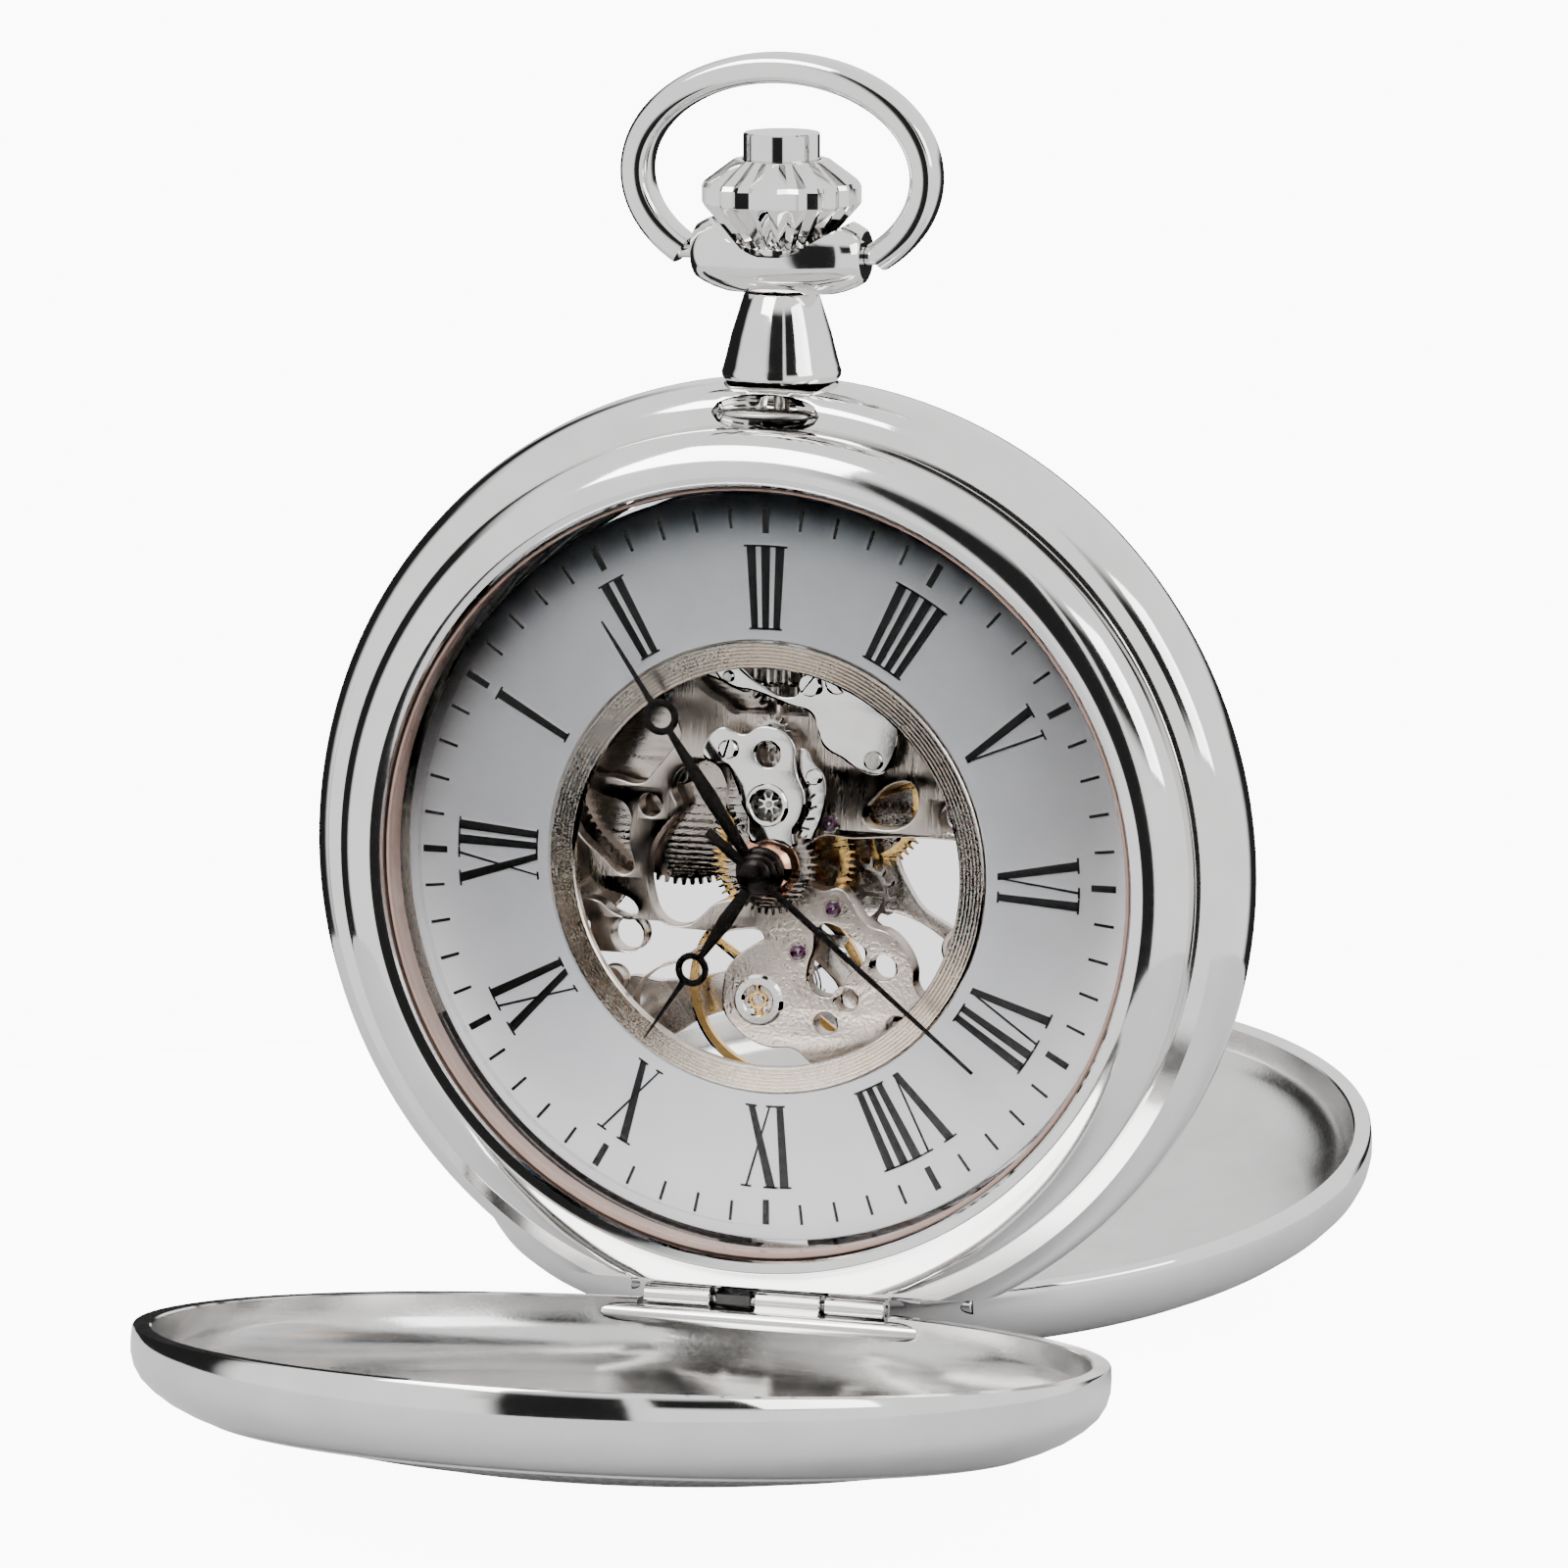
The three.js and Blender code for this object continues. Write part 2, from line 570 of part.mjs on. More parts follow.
// ---- Main plate: a pierced disc, dial side at the front ----
function mainPlate() {
  const shape = new THREE.Shape();
  shape.absarc(0, 0, PLATE_R, 0, 2 * Math.PI);
  const windows = [
    // over the mainspring barrel: two beside its rim, one small gap at the ratchet, one large beside its arbor
    [[-10, 5], [-9.2, 7], [-7.3, 8.3], [-5.1, 6.5], [-5.75, 5.4], [-6.5, 4.5], [-7.2, 3.8], [-8.7, 4], [-10.4, 4.4]],
    [[-10.9, 3.6], [-8, 2.5], [-7.9, -0.95], [-9.6, 0], [-10.9, 1.5]],
    [[-11.6, -0.4], [-10.6, -0.8], [-9.5, -1.75], [-7.5, -2.7], [-7.6, -3.2], [-8.7, -3.1], [-9.6, -2.5], [-11.7, -2.1]],
    [
      [-5, 4.65], [-5.6, 3.56], [-5.3, 2.5], [-6, 1.5], [-6.6, 0.6], [-6.9, -0.66], [-6.75, -2.06], [-6.4, -3],
      [-5.75, -3.5], [-4.8, -3.5], [-4.2, -3.15], [-3.25, -2.3], [-1.7, -1.6], [-1.7, 1.6], [-2.6, 2.6], [-2.7, 4.2],
      [-3.5, 5.1], [-4.2, 4.9],
    ],
    // round the balance
    [
      [-0.6, -3.9], [-2, -3.6], [-3.9, -4.55], [-5.3, -5.5], [-6.5, -6], [-7.5, -7.1], [-7.6, -8.3], [-6.8, -9.8],
      [-4.8, -11.2], [-2, -12.2], [0.8, -12.3], [2.4, -11.9], [2.5, -10.8], [1.9, -10.35], [0.97, -9.65], [-0.3, -9.65],
      [-1.4, -9.3], [-2.3, -8.6], [-2.8, -7.85], [-2.86, -6.75], [-2.6, -5.65], [-2, -4.9], [-1.06, -4.25],
    ],
    // between the third wheel and the escapement
    [
      [2.1, 1.3], [4.4, 1.5], [6.75, 1.7], [10.2, 1.65], [11.8, 1.4], [12.1, -0.5], [11.8, -2.2], [10.2, -2.5],
      [9.1, -3.3], [8.95, -4.2], [9.6, -4.95], [11, -5.1], [10.4, -6.4], [9.4, -7.2], [8.2, -6.75], [7.5, -6],
      [7.4, -5], [6.75, -3.8], [6, -3.2], [5.2, -3], [4.6, -2.5], [4.1, -1.7], [3.5, -1.1], [2.5, -1.25],
      [1.75, -0.9], [1.8, 0.3],
    ],
    // over the pallets
    [
      [2.4, -3.1], [3.3, -3.1], [4.25, -3.8], [4.8, -4.25], [4.7, -4.95], [3.9, -5.65], [3.4, -6.6], [2.7, -6.8],
      [1.9, -6.4], [1.8, -5.35], [2.1, -4.4],
    ],
    // above the third wheel
    [[4.75, 2.8], [5.35, 3.7], [6.45, 4.5], [7.4, 4.5], [7.65, 3.9], [7.5, 2.95], [6.75, 2.25], [5.65, 2.1], [4.9, 2.3]],
  ];
  for (const window of windows) {
    shape.holes.push(new THREE.Path(window.map(([x, z]) => new THREE.Vector2(x, z))));
  }
  const disc = plate(shape, PLATE_FRONT, PLATE_BACK, MID_ROUND / 2);
  const stemSlot = block([-1.9, 1.9], [-3, 3], [7.6, 14]);
  const stemGroove = block([-0.6, 0.6], [-0.55, 1], [5.2, 7.7]);
  const leverRoom = plate(
    [[-4.7, 10.2], [-4.4, 9.3], [-3.6, 8.5], [-2.8, 8.1], [-2.4, 7.7], [-1.8, 7.7], [-1.8, 11]],
    -3,
    3,
  );
  const centreHole = washer(1.15, 0, -2, 1, CENTRE, TINY_ROUND);
  return cut(disc, stemSlot, stemGroove, leverRoom, centreHole);
}
piece("main_plate", mainPlate(), FROSTED);

// ---- Bridges at the back, each on feet that stand on the main plate ----
const foot = (place, top) => washer(0.9, 0, 0.03, top, place, TINY_ROUND);
const pivotHole = ([x, z], r = 0.2) => washer(r, 0, 2, 4, [x, z], TINY_ROUND);

function barrelBridge() {
  const outline = [
    [-12.2, -4.2], [-13, 2], [-11.8, 6.6], [-8.5, 10.3], [-4, 12.7], [-1.8, 12.9], [-1.8, 10.4], [1.8, 10.4], [1.8, 12.9],
    [4.8, 12.2], [6, 10.6], [4.5, 8.5], [0, 6.2], [-2.6, 3.4], [-4.2, 1], [-8, -1.4], [-10.6, -4],
  ];
  const roof = plate(outline, 2.35, 3.05);
  return cut(
    joined(roof, foot([-11.7, -3.2], 2.6), foot([-4.2, 11.6], 2.6), foot([4.4, 11.5], 2.6)),
    washer(THIRD_WHEEL_R + 0.25, 0, 2, 4, THIRD),
    washer(FOURTH_WHEEL_R + 0.25, 0, 2, 4, CENTRE),
    pivotHole(BARREL, 0.85),
    pivotHole(CROWN_WHEEL, 0.35),
  );
}
piece("barrel_bridge", barrelBridge(), FROSTED);

function trainBridge() {
  const outline = [
    [12.6, 4.6], [9, 5.6], [6.4, 3.9], [3.6, 4.3], [1, 2.6], [-1.4, 1.4], [-1.6, -1.2], [1, -2.4], [3, -3.4], [5.2, -3.2],
    [8, -4.6], [11, -7.6], [12.8, -4],
  ];
  const roof = plate(outline, 3.15, 3.8);
  const opening = [[5.6, 1.2], [9.6, 1], [10.8, -1.5], [10.3, -4.8], [8.2, -3.7], [6.2, -2.3]];
  return cut(
    joined(roof, foot([12.2, 2.2], 3.3), foot([11.6, -5.3], 3.3)),
    plate(opening, 3, 4),
    ...[THIRD, CENTRE, ESCAPE].map((place) => pivotHole(place, 0.24)),
  );
}
piece("train_bridge", trainBridge(), FROSTED);

function balanceCock() {
  const roof = plate(link([-8.5, -8.8], BALANCE, 1.7, 1.4), 3.15, 3.8);
  return cut(joined(roof, foot([-8.6, -8.8], 3.3)), pivotHole(BALANCE, 0.24));
}
piece("balance_cock", balanceCock(), FROSTED);

function palletBridge() {
  const roof = plate(link([3.6, -7.3], PALLET, 0.85, 0.6), 1.05, 1.45);
  return cut(joined(roof, washer(0.55, 0, 0.03, 1.1, [3.8, -7.5], TINY_ROUND)), washer(0.2, 0, 0, 2, PALLET, TINY_ROUND));
}
piece("pallet_bridge", palletBridge(), FROSTED);

// ---- Keyless work on the dial side ----
const coverPlate = plate(
  [
    [-3.4, 5.6], [-3.2, 6.5], [-2.4, 7.15], [-1.8, 6.95], [-1.2, 6.85], [-0.5, 7.25], [0.2, 7.3], [1, 7], [1.5, 6.3],
    [1.5, 5.5], [1.63, 4.8], [2, 3.9], [1.9, 2.9], [1.4, 1.9], [1.35, 1.1], [0.9, 1.2], [0, 1.4], [-0.8, 1.25],
    [-1, 1.6], [-1.07, 2.6], [-1.37, 3.3], [-1.5, 3.8], [-1.7, 4.3], [-2.2, 5.2], [-2.8, 5.3],
  ],
  -2.4,
  -2.15,
);
const workHoles = [washer(0.85, 0, -3, 0, MINUTE_WORK), washer(0.62, 0, -3, 0, [0, 5.85], TINY_ROUND)];
piece("setting_cover_plate", cut(coverPlate, ...workHoles), POLISHED);
piece(
  "setting_lever_spring",
  plate(
    [
      [2.2, 10.9], [3.6, 10.9], [5.6, 9.8], [7.2, 8.5], [6.95, 7.4], [6.55, 5.8], [5.95, 5.1], [4.85, 5.25], [3.95, 5.8],
      [2.95, 6.4], [2.65, 7.1], [2.25, 8.05], [1.15, 8.4], [-0.85, 9.05], [-1.85, 9.2], [-2.7, 9.7], [-2.9, 10.5],
      [-2.1, 10.7], [-1.65, 10.3], [-0.45, 9.4], [1.2, 8.85], [1.75, 9.4], [1.8, 10.3],
    ],
    -2.1,
    -1.8,
  ),
  POLISHED,
);
piece("setting_lever", plate(link([3.2, 10.6], [1.0, 10.9], 0.7, 0.35, 4), -1.75, -1.2), STEEL);
piece("yoke", plate(link([-3.4, 10.4], [-1.3, 9.2], 0.6, 0.3, 4), -1.75, -1.2), STEEL);
piece("setting_wheel", washer(SETTING_WHEEL_R - BLANK, 0.2, -1.55, -1.3, SETTING), STEEL);

// ---- Motion work and hands ----

// A wheel blank with its pinion and arbor, all about one place. Each part is [radius, front, back].
function wheel(place, ...stack) {
  return joined(...stack.map(([r, front, back]) => washer(r, 0, front, back, place, r > 1.2 ? MID_ROUND : TINY_ROUND)));
}

const centreBore = washer(0.3, 0, -6, 6, CENTRE, TINY_ROUND);
piece("cannon_pinion", cut(wheel(CENTRE, [0.5, -4.1, -0.1], [CANNON_R - BLANK, -1.6, -1.25]), centreBore), STEEL);
piece(
  "hour_wheel",
  cut(wheel(CENTRE, [0.85, -3.62, -1.8], [HOUR_WHEEL_R - BLANK, -2.03, -1.83]), washer(0.6, 0, -6, 0, CENTRE, TINY_ROUND)),
  SATIN,
);
piece(
  "minute_wheel",
  wheel(MINUTE_WORK, [MINUTE_PINION_R - BLANK, -2.05, -1.5], [MINUTE_WHEEL_R - BLANK, -1.55, -1.3]),
  SATIN,
);

// A hand with a tapered blade, a pierced ring and a needle tip, drawn pointing along +X.
function ringHand(hubR, hubBore, ringAt, ringOuter, ringInner, tip, front, back) {
  const blade = [
    [hubR * 0.7, 0.3], [ringAt * 0.45, 0.36], [ringAt - ringOuter * 0.8, 0.16], [ringAt, 0.12], [tip, 0.06],
  ];
  const outline = [...blade, ...blade.map(([x, z]) => [x, -z]).reverse()];
  const whole = joined(
    plate(outline, front, back),
    washer(hubR, 0, front, back, CENTRE),
    washer(ringOuter, 0, front, back, [ringAt, 0]),
  );
  return cut(whole, washer(hubBore, 0, -6, 0, CENTRE, TINY_ROUND), washer(ringInner, 0, -6, 0, [ringAt, 0]));
}

// Turns a hand from +X to a share of a turn clockwise from the twelve, which lies to the left on this dial.
const pointed = (body, turn) => body.rotate([0, 180 + 360 * turn, 0]);

piece("hour_hand", pointed(ringHand(1.3, 0.88, 6.45, 0.9, 0.56, 11, -3.6, -3.45), HOUR_TURN), BLACK);
piece("minute_hand", pointed(ringHand(1.1, 0.53, 9.35, 0.95, 0.58, 15.1, -4.05, -3.9), MINUTE_TURN), BLACK);
function secondHand() {
  const blade = plate([[-3.3, 0.28], [-1.2, 0.16], [15.05, 0.05], [15.05, -0.05], [-1.2, -0.16], [-3.3, -0.28]], -4.45, -4.32);
  return cut(joined(blade, washer(0.85, 0, -4.6, -4.3, CENTRE)), washer(0.23, 0, -4.5, -4, CENTRE, TINY_ROUND));
}
piece("second_hand", pointed(secondHand(), SECOND_TURN), BLACK);

// ---- Going train ----
piece(
  "barrel_drum",
  cut(
    wheel(BARREL, [BARREL_R - BLANK, 0.55, 0.85], [5.6, 0.55, 1.75]),
    washer(5.3, 0, 0.8, 2, BARREL, MID_ROUND),
    washer(0.62, 0, 0, 2, BARREL, TINY_ROUND),
  ),
  SATIN,
);
piece("barrel_arbor", wheel(BARREL, [0.55, 0.1, 1.85], [0.8, 1.78, 3.15]), STEEL);

// A flat spiral strip about a place, from the inner radius to the outer one.
function spiral(place, inner, outer, turns, thick, front, back, perTurn) {
  const steps = Math.round(turns * perTurn);
  const edge = (shift) =>
    Array.from({ length: steps + 1 }, (_, i) => {
      const a = (2 * Math.PI * turns * i) / steps;
      const r = inner + ((outer - inner) * i) / steps + shift;
      return [place[0] + r * Math.cos(a), place[1] + r * Math.sin(a)];
    });
  return plate([...edge(thick / 2), ...edge(-thick / 2).reverse()], front, back);
}
piece("mainspring", spiral(BARREL, 0.9, 5.0, 3.5, 0.22, 0.95, 1.65, 14), STEEL);
piece(
  "ratchet_wheel",
  cut(washer(RATCHET_R - BLANK, 0, 1.95, 2.15, BARREL, MID_ROUND), washer(0.86, 0, 1, 3, BARREL, TINY_ROUND)),
  SATIN,
);
piece("crown_wheel", wheel(CROWN_WHEEL, [CROWN_WHEEL_R - BLANK, 1.95, 2.15], [0.28, 1.8, 2.9]), SATIN);
piece("click", plate(link([-9.4, 8.5], [-8.5, 7.45], 0.5, 0.2, 4), 1.95, 2.2), STEEL);

piece(
  "center_wheel",
  cut(wheel(CENTRE, [CENTRE_WHEEL_R - BLANK, 0.25, 0.4], [CENTRE_PINION_R - BLANK, 0.3, 0.95]), centreBore),
  GILT,
);
piece(
  "third_wheel",
  wheel(THIRD, [0.12, 0.08, 3.6], [THIRD_PINION_R - BLANK, 0.2, 0.6], [THIRD_WHEEL_R - BLANK, 2.4, 2.55]),
  GILT,
);
piece(
  "fourth_wheel",
  wheel(CENTRE, [0.2, -4.48, 3.6], [FOURTH_PINION_R - BLANK, 2.3, 2.85], [FOURTH_WHEEL_R - BLANK, 2.75, 2.9]),
  GILT,
);
piece(
  "escape_wheel",
  wheel(ESCAPE, [0.1, 0.05, 3.6], [ESCAPE_PINION_R - BLANK, 2.65, 3.0], [ESCAPE_WHEEL_R - 0.1, 1.6, 1.75]),
  SATIN,
);

// The pallet fork, drawn with its lever along +X, which points at the balance staff.
function palletFork() {
  const outline = [
    [-0.95, 1.45], [-0.3, 1.5], [0.3, 0.5], [0.6, 0.17], [2.85, 0.15], [2.85, -0.15], [0.6, -0.17], [0.3, -0.5],
    [-0.3, -1.5], [-0.95, -1.45], [-0.75, -1.05], [-0.35, -0.4], [-0.35, 0.4], [-0.75, 1.05],
  ];
  const towards = Math.atan2(BALANCE[1] - PALLET[1], BALANCE[0] - PALLET[0]);
  return joined(plate(outline, 1.6, 1.75), washer(0.1, 0, 0.1, 1.8, CENTRE, TINY_ROUND))
    .rotate([0, -THREE.MathUtils.radToDeg(towards), 0])
    .translate(PALLET[0], 0, PALLET[1]);
}
piece("pallet_fork", palletFork(), STEEL);

function balanceWheel() {
  const rim = washer(BALANCE_R, BALANCE_R - 0.45, 2.0, 2.5, BALANCE, MID_ROUND);
  const arm = plate(link([-4.5, 0], [4.5, 0], 0.25, 0.25, 3), 2.1, 2.35).rotate([0, 35, 0]).translate(BALANCE[0], 0, BALANCE[1]);
  return joined(rim, arm, wheel(BALANCE, [0.12, 0.3, 3.6], [0.5, 1.35, 1.5], [0.4, 1.9, 2.6]));
}
piece("balance_wheel", balanceWheel(), GILT);
piece("hairspring", spiral(BALANCE, 0.5, 2.3, 3, 0.1, 2.72, 2.92, 14), STEEL);

// Stands the watch on its covers.
watch.updateMatrixWorld(true);
lifted.position.z = -new THREE.Box3().setFromObject(watch, true).min.z;

export default watch;
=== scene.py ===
import math

import bpy
from mathutils import Matrix, Vector


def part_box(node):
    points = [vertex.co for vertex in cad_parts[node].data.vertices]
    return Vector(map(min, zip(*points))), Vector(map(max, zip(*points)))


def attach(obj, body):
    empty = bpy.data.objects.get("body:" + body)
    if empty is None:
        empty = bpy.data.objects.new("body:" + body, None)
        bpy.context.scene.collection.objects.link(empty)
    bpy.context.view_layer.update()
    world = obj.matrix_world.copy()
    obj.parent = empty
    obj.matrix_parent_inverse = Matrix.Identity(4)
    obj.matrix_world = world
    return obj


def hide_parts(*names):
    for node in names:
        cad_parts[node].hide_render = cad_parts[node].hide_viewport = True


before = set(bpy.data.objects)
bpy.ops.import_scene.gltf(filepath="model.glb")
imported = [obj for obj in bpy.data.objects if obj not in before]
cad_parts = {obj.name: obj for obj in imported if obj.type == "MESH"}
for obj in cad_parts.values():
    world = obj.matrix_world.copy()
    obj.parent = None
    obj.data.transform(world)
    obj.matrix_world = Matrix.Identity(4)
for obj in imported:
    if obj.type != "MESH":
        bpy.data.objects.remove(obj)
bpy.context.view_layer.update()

# ---- Main plate ----
# The frosted nickel plate that carries the whole movement, cut open so that the wheels show from the
# front. It is blanked from sheet, its windows are milled and its edges are bevelled by hand.
MM = 0.001
DIAL_Z = (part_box("dial")[0].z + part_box("dial")[1].z) / 2


def spot(x, y, z):
    """A place in metres, from millimetres right, back and up from the middle of the dial."""
    return Vector((x * MM, y * MM, z * MM + DIAL_Z))


def pick(obj):
    """Makes an object the only one that the next step works on."""
    bpy.ops.object.select_all(action="DESELECT")
    obj.select_set(True)
    bpy.context.view_layer.objects.active = obj


def finish_edges(obj, angle=35):
    """Applies where the object stands and shades its soft edges smooth."""
    pick(obj)
    bpy.ops.object.transform_apply(location=True, rotation=True, scale=True)
    bpy.ops.object.shade_smooth_by_angle(angle=math.radians(angle))
    return obj


def cut_plate(name, outlines, front, back, bevel=0.08, straight=False, resolution=8):
    """A sheet with bevelled edges, cut to closed outlines of (x, z): the edge, then its openings."""
    curve = bpy.data.curves.new(name, "CURVE")
    curve.dimensions = "2D"
    curve.fill_mode = "BOTH"
    for outline in outlines:
        spline = curve.splines.new("BEZIER")
        spline.bezier_points.add(len(outline) - 1)
        for point, (x, z) in zip(spline.bezier_points, outline):
            point.co = (x * MM, z * MM, 0)
            point.handle_left_type = point.handle_right_type = "VECTOR" if straight else "AUTO"
        spline.use_cyclic_u = True
        spline.resolution_u = 1 if straight else resolution
    curve.bevel_depth = bevel * MM
    curve.offset = -bevel * MM
    curve.extrude = max((back - front) / 2 - bevel, 0.001) * MM
    obj = bpy.data.objects.new(name, curve)
    bpy.context.scene.collection.objects.link(obj)
    obj.location = spot(0, (front + back) / 2, 0)
    obj.rotation_euler = (math.pi / 2, 0, 0)
    pick(obj)
    bpy.ops.object.convert(target="MESH")
    bpy.ops.object.mode_set(mode="EDIT")
    bpy.ops.mesh.select_all(action="SELECT")
    bpy.ops.mesh.remove_doubles(threshold=0.002 * MM)
    bpy.ops.mesh.normals_make_consistent(inside=False)
    bpy.ops.object.mode_set(mode="OBJECT")
    return finish_edges(obj, 25)


def round_hole(x, z, r, points=8):
    """The outline of a round hole."""
    turn = 2 * math.pi / points
    return [(x + r * math.cos(turn * i), z + r * math.sin(turn * i)) for i in range(points)]


def new_material(name, color=(0.8, 0.8, 0.8), metallic=1.0, roughness=0.3):
    """A fresh material, with its nodes, its links and its shader."""
    material = bpy.data.materials.new(name)
    material.use_nodes = True
    shader = material.node_tree.nodes["Principled BSDF"]
    shader.inputs["Base Color"].default_value = (*color, 1)
    shader.inputs["Metallic"].default_value = metallic
    shader.inputs["Roughness"].default_value = roughness
    return material, material.node_tree.nodes, material.node_tree.links, shader


def sums(nodes, links):
    """Gives a function that adds one Math node. Each of its inputs is a number or another node's output."""
    def sum_of(operation, *inputs):
        node = nodes.new("ShaderNodeMath")
        node.operation = operation
        for socket, value in zip(node.inputs, inputs):
            if isinstance(value, (int, float)):
                socket.default_value = value
            else:
                links.new(value, socket)
        return node.outputs["Value"]

    return sum_of


def two_tones(nodes, links, factor, dark, light):
    """A colour that runs from dark to light as the factor rises."""
    mix = nodes.new("ShaderNodeMix")
    mix.data_type = "RGBA"
    mix.inputs["A"].default_value = (*dark, 1)
    mix.inputs["B"].default_value = (*light, 1)
    links.new(factor, mix.inputs["Factor"])
    return mix.outputs["Result"]


def place_group(nodes, group, **values):
    """Adds a node group and sets its inputs."""
    node = nodes.new("ShaderNodeGroup")
    node.node_tree = group
    for key, value in values.items():
        node.inputs[key.replace("_", " ")].default_value = value
    return node


def grain_group():
    """Fine frosting and faint straight brushing, for nickel, steel and gilt."""
    group = bpy.data.node_groups.new("metal grain", "ShaderNodeTree")
    for socket, start in (("Grain Size", 9000), ("Depth", 0.3), ("Roughness", 0.35), ("Spread", 0.1),
        ("Along", 0.0)):
        item = group.interface.new_socket(socket, in_out="INPUT", socket_type="NodeSocketFloat")
        item.default_value = start
    group.interface.new_socket("Roughness", in_out="OUTPUT", socket_type="NodeSocketFloat")
    group.interface.new_socket("Normal", in_out="OUTPUT", socket_type="NodeSocketVector")
    group.interface.new_socket("Tone", in_out="OUTPUT", socket_type="NodeSocketFloat")
    nodes, links = group.nodes, group.links
    inside = nodes.new("NodeGroupInput")
    outside = nodes.new("NodeGroupOutput")
    place = nodes.new("ShaderNodeTexCoord")
    stretch = nodes.new("ShaderNodeMapping")
    stretch.inputs["Scale"].default_value = (1, 1, 0.06)
    mix = nodes.new("ShaderNodeMix")
    mix.data_type = "VECTOR"
    grain = nodes.new("ShaderNodeTexNoise")
    grain.inputs["Detail"].default_value = 3
    wide = nodes.new("ShaderNodeTexNoise")
    wide.inputs["Scale"].default_value = 350
    links.new(place.outputs["Object"], stretch.inputs["Vector"])
    links.new(inside.outputs["Along"], mix.inputs["Factor"])
    links.new(place.outputs["Object"], mix.inputs["A"])
    links.new(stretch.outputs["Vector"], mix.inputs["B"])
    links.new(mix.outputs["Result"], grain.inputs["Vector"])
    links.new(inside.outputs["Grain Size"], grain.inputs["Scale"])
    links.new(place.outputs["Object"], wide.inputs["Vector"])
    sum_of = sums(nodes, links)
    unevenness = sum_of("SUBTRACT", sum_of("ADD", grain.outputs["Fac"], wide.outputs["Fac"]), 1.0)
    spread = sum_of("MULTIPLY_ADD", unevenness, inside.outputs["Spread"], inside.outputs["Roughness"])
    bump = nodes.new("ShaderNodeBump")
    bump.inputs["Distance"].default_value = 0.00004
    links.new(inside.outputs["Depth"], bump.inputs["Strength"])
    links.new(grain.outputs["Fac"], bump.inputs["Height"])
    links.new(spread, outside.inputs["Roughness"])
    links.new(bump.outputs["Normal"], outside.inputs["Normal"])
    links.new(wide.outputs["Fac"], outside.inputs["Tone"])
    return group


METAL_GRAIN = grain_group()


def grained(name, dark, light, roughness, size=9000, depth=0.3, spread=0.1, along=0.0):
    material, nodes, links, shader = new_material(name, light)
    grain = place_group(nodes, METAL_GRAIN, Grain_Size=size, Depth=depth, Roughness=roughness,
        Spread=spread, Along=along)
    links.new(two_tones(nodes, links, grain.outputs["Tone"], dark, light), shader.inputs["Base Color"])
    links.new(grain.outputs["Roughness"], shader.inputs["Roughness"])
    links.new(grain.outputs["Normal"], shader.inputs["Normal"])
    return material


FROSTED = grained("frosted nickel", (0.28, 0.235, 0.20), (0.66, 0.58, 0.51), 0.30, 6500, 0.9, 0.2)
BRUSHED = grained("brushed nickel", (0.38, 0.32, 0.28), (0.74, 0.66, 0.59), 0.26, 12000, 0.5, 0.14, 1.0)


LIMB_SLOPE, LIMB_HEIGHT = 0.55, -2.63


def plate_finish():
    """Brushed above and to the left, coarsely frosted on the lower right limb that carries the balance."""
    material, nodes, links, shader = new_material("main plate", (0.6, 0.52, 0.45))
    coarse = place_group(nodes, METAL_GRAIN, Grain_Size=6000, Depth=1.0, Roughness=0.33, Spread=0.25,
        Along=0.0)
    fine = place_group(nodes, METAL_GRAIN, Grain_Size=11000, Depth=0.55, Roughness=0.29, Spread=0.12,
        Along=1.0)
    place = nodes.new("ShaderNodeTexCoord")
    parts = nodes.new("ShaderNodeSeparateXYZ")
    links.new(place.outputs["Object"], parts.inputs["Vector"])
    sum_of = sums(nodes, links)
    limb_edge = sum_of("MULTIPLY_ADD", parts.outputs["X"], LIMB_SLOPE, spot(0, 0, LIMB_HEIGHT).z)
    below = sum_of("LESS_THAN", parts.outputs["Z"], limb_edge)
    for output, socket, kind in (("Roughness", "Roughness", "FLOAT"), ("Normal", "Normal", "VECTOR")):
        choose = nodes.new("ShaderNodeMix")
        choose.data_type = kind
        links.new(below, choose.inputs["Factor"])
        links.new(fine.outputs[output], choose.inputs["A"])
        links.new(coarse.outputs[output], choose.inputs["B"])
        links.new(choose.outputs["Result"], shader.inputs[socket])
    tint = two_tones(nodes, links, fine.outputs["Tone"], (0.44, 0.37, 0.32), (0.80, 0.72, 0.65))
    links.new(tint, shader.inputs["Base Color"])
    return material


def paint(obj, *materials):
    """Gives a piece its materials and nothing else."""
    obj.data.materials.clear()
    for material in materials:
        obj.data.materials.append(material)
    return obj


